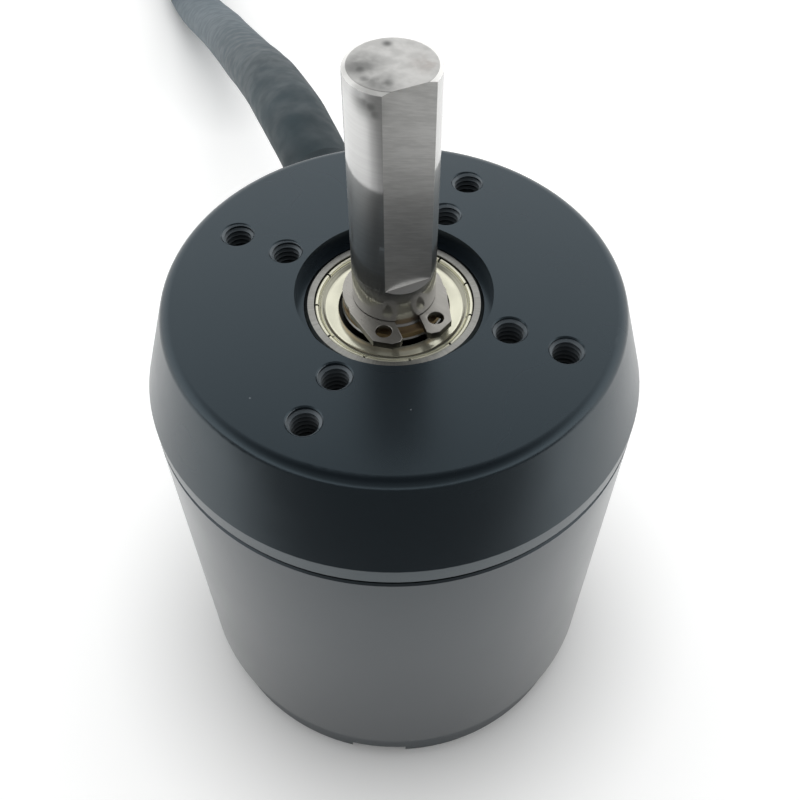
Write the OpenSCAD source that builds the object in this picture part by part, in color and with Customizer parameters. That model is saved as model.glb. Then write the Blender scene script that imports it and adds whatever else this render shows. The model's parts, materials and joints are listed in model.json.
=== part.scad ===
// Sealed outrunner brushless motor of the 63 mm class, with its sleeved lead.
// The mounting face lies on z = 0 around the origin and the shaft points along +Z.
// The motor stands on the rim of its rear cap, and the lead lies on the same surface.

/* [Body] */
// Outer diameter of the can and of the housing's lip
can_d = 63; // [62:0.5:66]
// Length from the mounting face to the rear rim
body_len = 74; // [72:1:90]
// Wall thickness of the can
can_wall = 2.2; // [2:0.1:2.3]
// Height of the mounting face above the cone's lower edge
cone_h = 12.2; // [11:0.1:12.6]
// Angle between the cone's side and the shaft
cone_angle = 16.8; // [14:0.2:18]
// Rounding between the mounting face and the cone
edge_r = 2; // [0.8:0.1:2.4]
// Height of the upright lip below the cone
lip_h = 2.5; // [2:0.1:3]
// Gap between the lip and the can
can_gap = 0.6; // [0.4:0.1:0.9]

/* [Mounting face] */
// Diameter of the circle of the outer four holes
wide_pcd = 44; // [43:0.5:44.5]
// Diameter of the circle of the inner four holes
narrow_pcd = 30; // [29.5:0.1:30.5]
// Radius of a hole, at the outside of its thread
hole_r = 2; // [1.5:0.05:2.05]
// Depth of a hole
hole_deep = 8; // [5:0.5:8]
// Diameter of the recess around the bearing
recess_d = 24; // [23:0.2:25]
// Depth of the recess around the bearing
recess_deep = 2.2; // [2:0.1:2.4]

/* [Shaft] */
// Length of shaft in front of the mounting face
shaft_out = 30.5; // [24:0.5:40]
// Depth of the flat milled on the shaft
flat_deep = 0.9; // [0.3:0.1:1.2]
// Height of the flat's lower end above the mounting face
flat_from = 4.5; // [3:0.5:12]
// Direction that the flat faces, as an angle around the shaft
flat_az = -40; // [-180:5:180]
// Chamfer at the shaft's ends
shaft_chamfer = 0.5; // [0.2:0.1:1]

/* [Retaining ring] */
// Thickness of the ring
clip_t = 1; // [0.8:0.05:1]
// Direction of the ring's gap, as an angle around the shaft
clip_az = -45; // [-180:5:180]
// Width of the ring's gap
clip_gap = 3; // [2:0.1:3.6]
// Diameter of the holes in the ring's lugs
lug_hole_d = 1.95; // [1.5:0.05:2.1]
// Thickness of the washer below the ring
shim_t = 0.7; // [0.5:0.05:0.7]

/* [Bearings] */
// Radius of a ball
ball_r = 1.5875; // [1.5:0.0125:1.6]
// Number of balls in a bearing
ball_count = 11; // [8:1:11]

/* [Stator] */
// Number of teeth in the stator core
teeth = 12; // [9:3:12]
// Width of a tooth's stem
stem_w = 5.6; // [4.8:0.1:5.6]
// Diameter of the coil wire
wire_d = 1.1; // [1:0.01:1.1]
// Air gap between the teeth and the magnets
air_gap = 0.6; // [0.4:0.05:0.9]

/* [Magnets] */
// Number of magnets in the can, half of them of each pole
magnet_count = 14; // [10:2:16]
// Share of the circle that the magnets cover
magnet_cover = 0.914; // [0.7:0.002:0.96]

/* [Rear cap] */
// Height of the rear cap's rim below the can
rim_h = 6.7; // [6.2:0.1:7]
// Set-back of the rim from the can's outside
rim_step = 1; // [0.5:0.1:1.2]
// Number of notches in the rim
notch_count = 4; // [2:1:6]
// Width of a notch
notch_w = 8.5; // [5:0.5:10]
// Height of a notch
notch_h = 1.5; // [0.8:0.1:2]

/* [Lead] */
// Diameter of the sleeved lead
sleeve_d = 10; // [9.6:0.1:10.4]
// Diameter of a phase lead
phase_d = 4.2; // [3.8:0.1:4.2]
// Diameter of the sensor lead
sensor_d = 2.6; // [2.2:0.1:2.6]

/* [Hidden] */
$fn = 96;

// Free play that lets turned pieces slide together
play = 0.01;
// Reach past a face, for cuts that go right through
over = 1;

// Bearing of 10 x 22 x 6 mm: the sizes are fixed by the standard
bearing_r = 11;
bearing_w = 6;
shaft_r = 5;
pitch_r = 8;
race_r = ball_r + 0.0625;
ring_chamfer = 0.45;
front_bearing_z = -recess_deep + 0.2 - bearing_w / 2;
rear_bearing_z = -body_len + 15;

// Heights of the body, all measured from the mounting face
lip_bottom = -cone_h - lip_h;
can_top = lip_bottom - can_gap;
can_bottom = rim_h - body_len;
stack_top = -23;
stack_bottom = 17 - body_len;
magnet_top = -21;
magnet_bottom = 15 - body_len;
insulator_t = 1;

// Radii of the body
can_r = can_d / 2;
can_in_r = can_r - can_wall;
magnet_out_r = can_in_r - 0.05;
magnet_in_r = magnet_out_r - 2.95;
tooth_r = magnet_in_r - air_gap;
skirt_r = can_in_r - 0.7;
wall_in_r = skirt_r - 2;
tube_r = 12.75;
tube_in_r = 9.4;
hub_r = 18.2;
hub_foot_r = 14.2;
back_iron_r = 16;
slot_angle = 360 / teeth;
floor_z = -body_len;

// The front housing's inside
ceiling_z = -6;
skirt_h = 2.3;
boss_deep = 10;
boss_r = 4.7;
edge_corner_r = can_r - cone_h * tan(cone_angle);
edge_reach = edge_r * tan((90 - cone_angle) / 2);

// Where the lead leaves the housing
cable_az = 135;
cable_z = -7.6;
cable_hole_r = 5.6;
neck_r = 4.65;
neck_from = 25;

// Route of the sleeved lead's centre: out of the housing, down to the surface, and round behind
sleeve_route = [
    [-22, 22, -7.6], [-27, 27, -7.6], [-32, 32, -8.5], [-38, 38.2, -10.6], [-45, 45.6, -13.7],
    [-54, 55.2, -19], [-64, 66, -25.7], [-75, 78, -33], [-87, 91, -41], [-99, 104, -49],
    [-111, 116.5, -56.8], [-121, 126.5, -62.6], [-129, 134.5, -66.6], [-136, 142, -68.5],
    [-143, 150, -69], [-150, 158, -69], [-156.5, 168.5, -69], [-160, 180, -69],
    [-160.5, 193, -69], [-156.5, 205.5, -69], [-149.5, 216.5, -69], [-139.5, 224.5, -68.8],
    [-128.5, 229.5, -68.3], [-118, 231, -68], [-108, 231, -68]
];
exit_r = norm([sleeve_route[0][0], sleeve_route[0][1]]);
boot_start = sleeve_route[len(sleeve_route) - 1];
boot_len = 22;
boot_r = 6;

// Routes of the leads that come out of the boot, down to the surface and side by side
phase_route_a = [
    [-86, 228.4, -70.4], [-84, 228.4, -70.4], [-82, 228.4, -70.4], [-78, 228.1, -70.7],
    [-74, 227.3, -71.1], [-70, 226.1, -71.5], [-66, 224.8, -71.8], [-62, 223.6, -71.9],
    [-58, 222.8, -71.9], [-53, 222.2, -71.9], [-48, 222, -71.9], [-43, 222, -71.9],
    [-37, 222, -71.9], [-31, 222, -71.9], [-25, 222, -71.9]
];
phase_route_b = [for (p = phase_route_a) [p[0], 2 * boot_start[1] - p[1], p[2]]];
phase_route_c = [
    [-86, 229.1, -65.6], [-84, 229.1, -65.6], [-82, 229.1, -65.6], [-78, 229.2, -66.1],
    [-74, 229.4, -67.2], [-70, 229.6, -68.6], [-66, 229.9, -70], [-62, 230.2, -71.1],
    [-58, 230.6, -71.7], [-53, 230.9, -71.9], [-48, 231, -71.9], [-43, 231, -71.9],
    [-37, 231, -71.9], [-31, 231, -71.9], [-25, 231, -71.9]
];
sensor_route = [
    [-86, 233.9, -65.8], [-83, 233.9, -65.8], [-80, 233.9, -65.8], [-76, 235, -65.9],
    [-72, 237, -66.4], [-68, 239.8, -67.4], [-64, 242.8, -68.9], [-60, 245.4, -70.5],
    [-56, 247.4, -71.8], [-51, 248.6, -72.5], [-45, 249, -72.7], [-37, 249, -72.7],
    [-28, 249, -72.7], [-17, 249, -72.7], [-4, 249, -72.7]
];
bullet_z = -71.5;

anodised = [0.13, 0.14, 0.16];
steel = [0.72, 0.73, 0.74];
shield_steel = [0.86, 0.86, 0.78];
copper = [0.72, 0.38, 0.2];
nickel = [0.62, 0.62, 0.6];
resin = [0.86, 0.84, 0.76];
sleeve_grey = [0.2, 0.22, 0.25];

// Ring with a rectangular section between two heights
module ring(outer, inner, low, high) {
    translate([0, 0, low])
    linear_extrude(high - low)
    difference() {
        circle(r = outer);
        circle(r = inner);
    }
}

// Flat sector of a ring, centred on the X axis
module sector(outer, inner, angle) {
    reach = 1.5 * outer;
    difference() {
        intersection() {
            circle(r = outer);
            polygon([
                [0, 0], reach * [cos(angle / 2), -sin(angle / 2)], [reach, 0],
                reach * [cos(angle / 2), sin(angle / 2)]
            ]);
        }
        circle(r = inner);
    }
}

// Puts its children at equal steps round the shaft
module around(count, first = 0) {
    for (i = [0 : count - 1]) rotate(first + i * 360 / count) children();
}

// Round bar that points away from the shaft, with its near end at radius start
module radial_bar(radius, start, end) {
    translate([start, 0, 0]) rotate([0, 90, 0]) cylinder(r = radius, h = end - start);
}

// Front housing: one turned piece with the face, the cone, the lip and the stator's tube
module edge_rounding() {
    foot = [edge_corner_r + edge_reach * sin(cone_angle), -edge_reach * cos(cone_angle)];
    difference() {
        polygon([
            [edge_corner_r - edge_reach, 0], [edge_corner_r - edge_reach, over],
            [foot[0] + over, over], [foot[0] + over, foot[1]], foot
        ]);
        translate([edge_corner_r - edge_reach, -edge_r]) circle(r = edge_r);
    }
}

module housing_section() {
    seat_r = bearing_r + play;
    front_seat = front_bearing_z - bearing_w / 2;
    rear_seat = rear_bearing_z + bearing_w / 2 + 0.6;
    tube_end = rear_bearing_z - bearing_w / 2 - 0.2;
    difference() {
        polygon([
            [recess_d / 2, 0], [edge_corner_r, 0], [can_r, -cone_h], [can_r, lip_bottom + 0.2],
            [can_r - 0.2, lip_bottom], [skirt_r, lip_bottom], [skirt_r, lip_bottom - skirt_h],
            [wall_in_r, lip_bottom - skirt_h], [wall_in_r, ceiling_z - 1], [wall_in_r - 1, ceiling_z],
            [hub_r + 1, ceiling_z], [hub_r, ceiling_z - 1], [hub_r, lip_bottom],
            [hub_foot_r, stack_top], [tube_r, stack_top], [tube_r, tube_end + 0.5],
            [tube_r - 0.5, tube_end], [seat_r, tube_end], [seat_r, rear_seat], [tube_in_r, rear_seat],
            [tube_in_r, front_seat], [seat_r, front_seat], [seat_r, -recess_deep],
            [recess_d / 2, -recess_deep]
        ]);
        edge_rounding();
    }
}

module tapped_hole() {
    mouth = 0.15;
    translate([0, 0, -hole_deep]) cylinder(r = hole_r, h = hole_deep + over);
    translate([0, 0, -mouth]) cylinder(r1 = hole_r, r2 = hole_r + mouth, h = mouth);
}

module front_housing() {
    color(anodised)
    difference() {
        union() {
            rotate_extrude() housing_section();
            around(4) translate([wide_pcd / 2, 0, -boss_deep]) cylinder(r = boss_r, h = boss_deep - over);
        }
        around(4) translate([wide_pcd / 2, 0, 0]) tapped_hole();
        around(4) translate([narrow_pcd / 2, 0, 0]) tapped_hole();
        rotate(cable_az) translate([0, 0, cable_z]) radial_bar(cable_hole_r, hub_r + 0.1, can_r + over);
    }
}

// Rubber grommet that fills the cable hole round the lead's neck
module cable_grommet() {
    color("dimgray")
    rotate(cable_az) translate([0, 0, cable_z])
    difference() {
        radial_bar(cable_hole_r - play, neck_from, exit_r);
        radial_bar(neck_r + play, neck_from - over, exit_r + over);
    }
}

// Wire from the lead's inner end, straight in and then down to the sensor board
module lead_drop(lead_r, side, height, drop_r, bend) {
    turn_r = drop_r + bend;
    translate([0, side, 0]) {
        translate([0, 0, height]) radial_bar(lead_r, turn_r, neck_from);
        translate([turn_r, 0, height - bend]) rotate([90, 0, 180])
            rotate_extrude(angle = 90) translate([bend, 0]) circle(r = lead_r);
        translate([drop_r, 0, board_top]) cylinder(r = lead_r, h = height - bend - board_top);
    }
}

module phase_inner_leads() {
    lead_r = 1.1;
    color("darkslategray")
    rotate(cable_az)
    for (side = [-2.9, 0, 2.9]) lead_drop(lead_r, side, cable_z - 1, 21, 2);
}

module sensor_inner_leads() {
    lead_r = 0.42;
    color("olive")
    rotate(cable_az)
    for (side = [-2 : 1 : 2]) lead_drop(lead_r, 1.15 * side, cable_z + 2.3, 19.4, 1);
}

// Bearing: two rings with a ball groove, balls in a ribbon cage, and a shield on each side
module groove() {
    translate([pitch_r, 0]) circle(r = race_r);
}

module outer_ring_section() {
    half = bearing_w / 2;
    shoulder_r = 9.05;
    seat_r = 9.75;
    seat_z = half - 0.9;
    difference() {
        polygon([
            [shoulder_r, -seat_z], [seat_r, -seat_z], [seat_r, -half], [bearing_r - ring_chamfer, -half],
            [bearing_r, ring_chamfer - half], [bearing_r, half - ring_chamfer],
            [bearing_r - ring_chamfer, half], [seat_r, half], [seat_r, seat_z], [shoulder_r, seat_z]
        ]);
        groove();
    }
}

module inner_ring_section() {
    half = bearing_w / 2;
    bore_r = shaft_r + play;
    shoulder_r = 6.95;
    land_r = 6.37;
    step_z = half - 1.1;
    difference() {
        polygon([
            [bore_r, 0.3 - half], [bore_r + 0.3, -half], [land_r - 0.25, -half], [land_r, 0.25 - half],
            [land_r, -step_z], [shoulder_r, -step_z], [shoulder_r, step_z], [land_r, step_z],
            [land_r, half - 0.25], [land_r - 0.25, half], [bore_r + 0.3, half], [bore_r, half - 0.3]
        ]);
        groove();
    }
}

// Shield on the upper side: a curled rim in the outer ring's seat, a rib and a flat disc
module shield_section() {
    base = bearing_w / 2 - 0.9;
    curl_r = 0.24;
    sheet = 0.25;
    union() {
        polygon([
            [9.7, base], [9.7, base + 0.5], [9.22, base + 0.5], [8.97, base + 0.4], [8.9, base + 0.5],
            [8.79, base + 0.45], [8.38, base + sheet - 0.05], [6.77, base + sheet - 0.05],
            [6.77, base - 0.05], [8.5, base - 0.05], [8.9, base]
        ]);
        translate([9.7 - curl_r, base + 0.5]) circle(r = curl_r);
    }
}

module ball_ring() {
    around(ball_count) translate([pitch_r, 0, 0]) sphere(r = ball_r, $fn = 48);
}

// Ribbon cage: a band between the balls, formed into a cup round each ball
module ball_cage() {
    band = 0.45;
    cup_in = ball_r + 0.0525;
    cup_out = cup_in + 0.2;
    ribbon_t = 0.36;
    difference() {
        union() {
            ring(pitch_r + band, pitch_r - band, -ribbon_t / 2, ribbon_t / 2);
            around(ball_count) radial_bar(cup_out, pitch_r - band, pitch_r + band);
        }
        around(ball_count) radial_bar(cup_in, pitch_r - 2 * band, pitch_r + 2 * band);
    }
}

module front_bearing_outer_ring() {
    color(steel) translate([0, 0, front_bearing_z]) rotate_extrude() outer_ring_section();
}

module rear_bearing_outer_ring() {
    color(steel) translate([0, 0, rear_bearing_z]) rotate_extrude() outer_ring_section();
}

module front_bearing_inner_ring() {
    color(steel) translate([0, 0, front_bearing_z]) rotate_extrude() inner_ring_section();
}

module rear_bearing_inner_ring() {
    color(steel) translate([0, 0, rear_bearing_z]) rotate_extrude() inner_ring_section();
}

module bearing_shields() {
    color(shield_steel)
    for (z = [front_bearing_z, rear_bearing_z]) translate([0, 0, z])
        for (end = [0, 1]) mirror([0, 0, end]) rotate_extrude() shield_section();
}

module front_balls() {
    color(steel) translate([0, 0, front_bearing_z]) ball_ring();
}

module front_ball_cage() {
    color(nickel) translate([0, 0, front_bearing_z]) ball_cage();
}

module rear_balls() {
    color(steel) translate([0, 0, rear_bearing_z]) ball_ring();
}

module rear_ball_cage() {
    color(nickel) translate([0, 0, rear_bearing_z]) ball_cage();
}

// Wave washer that pushes the rear bearing's outer ring, with three crests on each side
module preload_washer() {
    steps = 72;
    thick = 0.3;
    wave = 0.14;
    inner = 9.9;
    outer = 10.9;
    corners = [[inner, -thick / 2], [outer, -thick / 2], [outer, thick / 2], [inner, thick / 2]];
    middle = rear_bearing_z + bearing_w / 2 + 0.3;
    points = [
        for (i = [0 : steps - 1], c = corners)
            let (a = i * 360 / steps) [c[0] * cos(a), c[0] * sin(a), middle + wave * cos(3 * a) + c[1]]
    ];
    color(steel) polyhedron(points = points, faces = closed_tube_faces(steps, 4));
}

function closed_tube_faces(rings, sides) = [
    for (i = [0 : rings - 1], j = [0 : sides - 1], half = [0, 1])
        let (
            a = i * sides,
            b = (i + 1) % rings * sides,
            k = (j + 1) % sides
        )
        half == 0 ? [a + j, b + k, b + j] : [a + j, a + k, b + k]
];

// Stator core: laminations with a stem and a shoe for each tooth
module tooth_outline(stem, shoe_angle) {
    shoe_in = tooth_r - 1.6;
    translate([back_iron_r - 1, -stem / 2]) square([tooth_r - back_iron_r, stem]);
    sector(tooth_r, shoe_in, shoe_angle);
    polygon([
        [shoe_in - 0.8, stem / 2 - 0.3], [shoe_in + 0.3, stem / 2 + 1.6],
        [shoe_in + 0.3, -stem / 2 - 1.6], [shoe_in - 0.8, 0.3 - stem / 2]
    ]);
}

module stator_core() {
    stack_h = stack_top - stack_bottom;
    shoe_angle = slot_angle - 4;
    color(nickel)
    translate([0, 0, stack_bottom])
    difference() {
        union() {
            cylinder(r = back_iron_r, h = stack_h);
            around(teeth) linear_extrude(stack_h) tooth_outline(stem_w, shoe_angle);
        }
        translate([0, 0, -over]) cylinder(r = tube_r + play, h = stack_h + 2 * over);
    }
}

// Insulator on the stack's upper end: a plate, an inner collar, and a tab behind each coil
module insulator() {
    tab_out = tooth_r - 0.5;
    tab_h = 2.5;
    linear_extrude(insulator_t)
    difference() {
        union() {
            circle(r = back_iron_r + 0.2);
            around(teeth) tooth_outline(stem_w + 0.4, 22);
        }
        circle(r = back_iron_r - 1.1);
    }
    ring(back_iron_r + 0.15, back_iron_r - 0.2, 0, insulator_t + 2);
    around(teeth) linear_extrude(insulator_t + tab_h) sector(tab_out, tab_out - 0.8, 14);
}

// The front insulator also has three tall tabs that carry the sensor board
module front_insulator() {
    tab_out = tooth_r - 0.5;
    color(resin)
    translate([0, 0, stack_top]) {
        insulator();
        for (a = board_post_angles) rotate(a)
            linear_extrude(board_bottom - stack_top) sector(tab_out, tab_out - 0.8, 14);
    }
}

module rear_insulator() {
    color(resin) translate([0, 0, stack_bottom]) mirror([0, 0, 1]) insulator();
}

// Coil round a tooth: a full layer of turns and a short second layer further out
wire_r = wire_d / 2;
wire_pitch = wire_d - 0.1;
coil_from = back_iron_r + 0.3;
coil_half_w = stem_w / 2 + 0.3;
layer_turns = [7, 4];

module rounded_frame(grow) {
    half_z = (stack_top - stack_bottom) / 2 + insulator_t + play;
    corner_r = 0.15;
    difference() {
        rounded_plate(coil_half_w + grow, half_z + grow, corner_r + grow);
        rounded_plate(coil_half_w, half_z, corner_r);
    }
}

module rounded_plate(half_w, half_h, corner_r) {
    square([2 * half_w, 2 * (half_h - corner_r)], center = true);
    square([2 * (half_w - corner_r), 2 * half_h], center = true);
    for (x = [-1, 1], y = [-1, 1])
        translate([x * (half_w - corner_r), y * (half_h - corner_r)]) circle(r = corner_r);
}

module coil_layer(first_turn, turns, thick) {
    groove = 0.15;
    start = coil_from + first_turn * wire_pitch;
    translate([0, 0, start]) linear_extrude(turns * wire_pitch) rounded_frame(thick - groove);
    for (i = [0 : turns - 1])
        translate([0, 0, start + i * wire_pitch + groove / 2])
            linear_extrude(wire_pitch - groove) rounded_frame(thick);
}

module coil() {
    middle = (stack_top + stack_bottom) / 2;
    translate([0, 0, middle]) rotate([90, 0, 90]) {
        coil_layer(0, layer_turns[0], wire_pitch);
        coil_layer(layer_turns[0] - layer_turns[1], layer_turns[1], 2 * wire_pitch);
    }
}

// One phase: every third tooth is wound, and one coil's end rises to the sensor board
module coils(phase, riser_tooth) {
    riser_y = coil_half_w + wire_r;
    coil_top = stack_top + insulator_t;
    around(teeth / 3, phase * slot_angle) coil();
    rotate(riser_tooth * slot_angle) translate([coil_from + 3.5 * wire_pitch, riser_y, coil_top])
        cylinder(r = wire_r, h = board_bottom - coil_top);
}

module coils_phase_a() {
    color(copper) coils(0, 3);
}

module coils_phase_b() {
    color(copper) coils(1, 4);
}

module coils_phase_c() {
    color(copper) coils(2, 5);
}

// Sensor board above the coils, below the cable hole
board_bottom = -17.2;
board_top = -16;
board_in_r = 18.6;
board_span = 136;
board_post_angles = [90, 120, 180];

module sensor_board() {
    color("darkgreen")
    translate([0, 0, board_bottom])
    linear_extrude(board_top - board_bottom)
    rotate(cable_az) sector(tooth_r - 0.1, board_in_r, board_span);
}

// Three position sensors that hang from the board between the insulator's tabs
module position_sensors() {
    body = [1.6, 4, 3];
    color("dimgray")
    for (a = [-60, 0, 60]) rotate(cable_az + a)
        translate([tooth_r - 0.2 - body[0], -body[1] / 2, board_bottom - body[2]]) cube(body);
}

// Shaft with a ground journal for the bearings, a groove for the retaining ring and chamfered ends
module shaft_section() {
    end_z = 0.8 - body_len;
    journal_r = shaft_r + play / 2;
    groove_floor = 4.8;
    polygon([
        [0, end_z], [journal_r - shaft_chamfer, end_z], [journal_r, end_z + shaft_chamfer],
        [journal_r, clip_bottom], [groove_floor, clip_bottom], [groove_floor, clip_top + 0.1],
        [journal_r, clip_top + 0.1], [journal_r, flat_from], [shaft_r, flat_from],
        [shaft_r, shaft_out - shaft_chamfer], [shaft_r - shaft_chamfer, shaft_out], [0, shaft_out]
    ]);
}

module shaft() {
    color(steel)
    difference() {
        rotate_extrude() shaft_section();
        rotate(flat_az) translate([shaft_r - flat_deep, -shaft_r, flat_from])
            cube([shaft_r, 2 * shaft_r, shaft_out]);
    }
}

// Retaining ring in the shaft's groove, its shape drawn with the gap along the X axis
clip_bottom = front_bearing_z + bearing_w / 2 + shim_t;
clip_top = clip_bottom + clip_t;

module lug_outline() {
    difference() {
        polygon([
            [4.6, clip_gap / 2], [7.5, clip_gap / 2], [7.9, clip_gap / 2 + 0.4], [7.95, 2.9],
            [6.75, 4.85], [4.9, 5.3], [1.7, 6.05], [0, 5.9], [0, 4.2]
        ]);
        translate([5.76, 3.22]) circle(d = lug_hole_d);
    }
}

module retaining_ring() {
    ring_in = 4.82;
    color(steel)
    rotate(clip_az) translate([0, 0, clip_bottom])
    linear_extrude(clip_t)
    difference() {
        union() {
            difference() {
                translate([-0.35, 0]) circle(r = 6.1);
                translate([0, -clip_gap / 2]) square([10, clip_gap]);
                translate([5.2, -10]) square([10, 20]);
                for (end = [0, 1]) mirror([0, end]) translate([5.76, 3.22]) circle(d = lug_hole_d);
            }
            for (end = [0, 1]) mirror([0, end]) lug_outline();
        }
        circle(r = ring_in);
    }
}

// Brass washer between the retaining ring and the bearing's inner ring
module shim_washer() {
    low = front_bearing_z + bearing_w / 2;
    color("goldenrod") ring(6.2, shaft_r + 0.05, low, low + shim_t);
}

// Can: the outer tube that turns, with small bevels on its edges
module can() {
    bevel = 0.25;
    color(anodised)
    rotate_extrude()
    polygon([
        [can_in_r, can_bottom], [can_r - bevel, can_bottom], [can_r, can_bottom + bevel],
        [can_r, can_top - bevel], [can_r - bevel, can_top], [can_in_r + bevel, can_top],
        [can_in_r, can_top - bevel]
    ]);
}

// Every second magnet round the can, as curved blocks
module magnets(first) {
    step = 360 / magnet_count;
    translate([0, 0, magnet_bottom])
    linear_extrude(magnet_top - magnet_bottom)
    around(magnet_count / 2, first * step) sector(magnet_out_r, magnet_in_r, step * magnet_cover);
}

module magnets_north() {
    color(nickel) magnets(0);
}

module magnets_south() {
    color(nickel * 0.85) magnets(1);
}

// Rear cap: rim below the can, spigot inside it, a plate, and a hub that grips the shaft
rear_plate_top = 6.5 - body_len;
rear_plate_bottom = rear_plate_top - 2.5;
rear_hub_r = 9;
screw_z = 2.2 - body_len;
screw_r = 1.5;
screw_angles = [45, 135];

module rear_cap_section() {
    rim_r = can_r - rim_step;
    rim_in_r = can_in_r - 2.6;
    hub_end = 0.4 - body_len;
    bore_r = shaft_r + play;
    boss_top = rear_bearing_z - bearing_w / 2;
    polygon([
        [bore_r, boss_top], [6.2, boss_top], [6.2, boss_top - 1], [rear_hub_r, boss_top - 1],
        [rear_hub_r, rear_plate_top + 1], [rear_hub_r + 1, rear_plate_top],
        [magnet_in_r - 0.5, rear_plate_top], [magnet_in_r + 0.2, rear_plate_top + 0.7],
        [magnet_in_r + 0.2, can_bottom + 3.5], [magnet_out_r, can_bottom + 3.5],
        [magnet_out_r, can_bottom], [rim_r, can_bottom], [rim_r, floor_z + 0.4], [rim_r - 0.4, floor_z],
        [rim_in_r + 0.4, floor_z], [rim_in_r, floor_z + 0.4], [rim_in_r, rear_plate_bottom - 1],
        [rim_in_r - 1, rear_plate_bottom], [rear_hub_r + 1, rear_plate_bottom],
        [rear_hub_r, rear_plate_bottom - 1], [rear_hub_r, hub_end + 0.4], [rear_hub_r - 0.4, hub_end],
        [bore_r + 0.4, hub_end], [bore_r, hub_end + 0.4]
    ]);
}

module rear_cap() {
    notch_az = -69;
    color(anodised)
    difference() {
        rotate_extrude() rear_cap_section();
        around(notch_count, notch_az) translate([can_r - 8, -notch_w / 2, floor_z - over])
            cube([10, notch_w, notch_h + over]);
        for (a = screw_angles) rotate(a) translate([0, 0, screw_z])
            radial_bar(screw_r, shaft_r - over, rear_hub_r + over);
    }
}

// Two set screws with a hexagon socket, in the rear cap's hub
module set_screws() {
    socket_r = 0.87;
    color("dimgray")
    for (a = screw_angles) rotate(a) translate([0, 0, screw_z])
    difference() {
        radial_bar(screw_r - play, shaft_r + play, rear_hub_r - 0.5);
        translate([rear_hub_r - 2, 0, 0]) rotate([0, 90, 0]) cylinder(r = socket_r, h = 3, $fn = 6);
    }
}

// Tube swept along a route, with one ring of points at each of the route's points
function unit(v) = v / norm(v);

function route_direction(route, i) =
    unit(route[min(i + 1, len(route) - 1)] - route[max(i - 1, 0)]);

function ring_points(route, i, radius, sides) =
    let (
        ahead = route_direction(route, i),
        side = unit(cross(ahead, [0, 0, 1])),
        up = cross(side, ahead)
    )
    [
        for (j = [0 : sides - 1])
            let (a = (j + 0.5) * 360 / sides) route[i] + radius * (cos(a) * side + sin(a) * up)
    ];

module swept_tube(route, radius, sides) {
    rings = len(route);
    last = (rings - 1) * sides;
    points = [for (i = [0 : rings - 1]) each ring_points(route, i, radius, sides)];
    walls = [
        for (i = [0 : rings - 2], j = [0 : sides - 1], half = [0, 1])
            let (a = i * sides, b = a + sides, k = (j + 1) % sides)
            half == 0 ? [a + j, b + k, b + j] : [a + j, a + k, b + k]
    ];
    near_cap = [for (j = [1 : sides - 2]) [0, j + 1, j]];
    far_cap = [for (j = [1 : sides - 2]) [last, last + j, last + j + 1]];
    polyhedron(points = points, faces = concat(walls, near_cap, far_cap));
}

module cable_sleeve() {
    color(sleeve_grey) {
        swept_tube(sleeve_route, sleeve_d / 2, 12);
        rotate(cable_az) translate([0, 0, cable_z]) radial_bar(neck_r, neck_from, exit_r + over);
    }
}

// Round piece that points along +X, with its near end at the given point
module along_x(start) {
    translate(start) rotate([0, 90, 0]) children();
}

module lead_boot() {
    taper = 4;
    color("black")
    along_x(boot_start) {
        cylinder(r1 = boot_r - 0.7, r2 = boot_r, h = taper);
        translate([0, 0, taper]) cylinder(r = boot_r, h = boot_len - taper);
    }
}

module phase_lead(route, tint) {
    color(tint) swept_tube([for (i = [0 : 2 : len(route) - 1]) route[i]], phase_d / 2, 8);
}

module phase_lead_a() {
    phase_lead(phase_route_a, "gold");
}

module phase_lead_b() {
    phase_lead(phase_route_b, "royalblue");
}

module phase_lead_c() {
    phase_lead(phase_route_c, "seagreen");
}

// Bullet plug: a barrel round the lead's end and a slotted pin with a rounded nose
module bullet(route) {
    end = route[len(route) - 1];
    barrel_r = 2.5;
    barrel_len = 8;
    pin_r = 2;
    pin_len = 10;
    color("goldenrod")
    along_x([end[0], end[1], bullet_z])
    difference() {
        rotate_extrude() polygon([
            [0, 0], [barrel_r, 0], [barrel_r, barrel_len - 0.5], [barrel_r - 0.5, barrel_len],
            [pin_r - 0.4, barrel_len], [pin_r - 0.4, barrel_len + 1], [pin_r, barrel_len + 2.5],
            [pin_r, barrel_len + pin_len - 2], [pin_r - 0.8, barrel_len + pin_len - 0.4],
            [pin_r - 1.2, barrel_len + pin_len], [0, barrel_len + pin_len]
        ]);
        for (a = [0, 90]) rotate(a) translate([-pin_r - over, -0.2, barrel_len + 3])
            cube([2 * pin_r + 2 * over, 0.4, pin_len - 5.2]);
    }
}

module bullet_a() {
    bullet(phase_route_a);
}

module bullet_b() {
    bullet(phase_route_b);
}

module bullet_c() {
    bullet(phase_route_c);
}

module sensor_lead() {
    color("black") swept_tube([for (i = [0 : 2 : len(sensor_route) - 1]) sensor_route[i]], sensor_d / 2, 8);
}

// Six-way plug at the sensor lead's end, with its contact cavities and two guide ribs
module sensor_plug() {
    end = sensor_route[len(sensor_route) - 1];
    size = [8, 14, 4.5];
    ways = 6;
    pitch = 2;
    color("ivory")
    translate([end[0], end[1], floor_z])
    difference() {
        union() {
            translate([0, -size[1] / 2, 0]) cube(size);
            for (y = [-4.5, 4.5]) translate([1.5, y - 0.5, size[2] - over])
                cube([size[0] - 1.5, 1, over + 0.5]);
        }
        for (i = [0 : ways - 1])
            translate([size[0] - 5, (i - (ways - 1) / 2) * pitch - 0.7, 1.5]) cube([5 + over, 1.4, 1.4]);
    }
}

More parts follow.
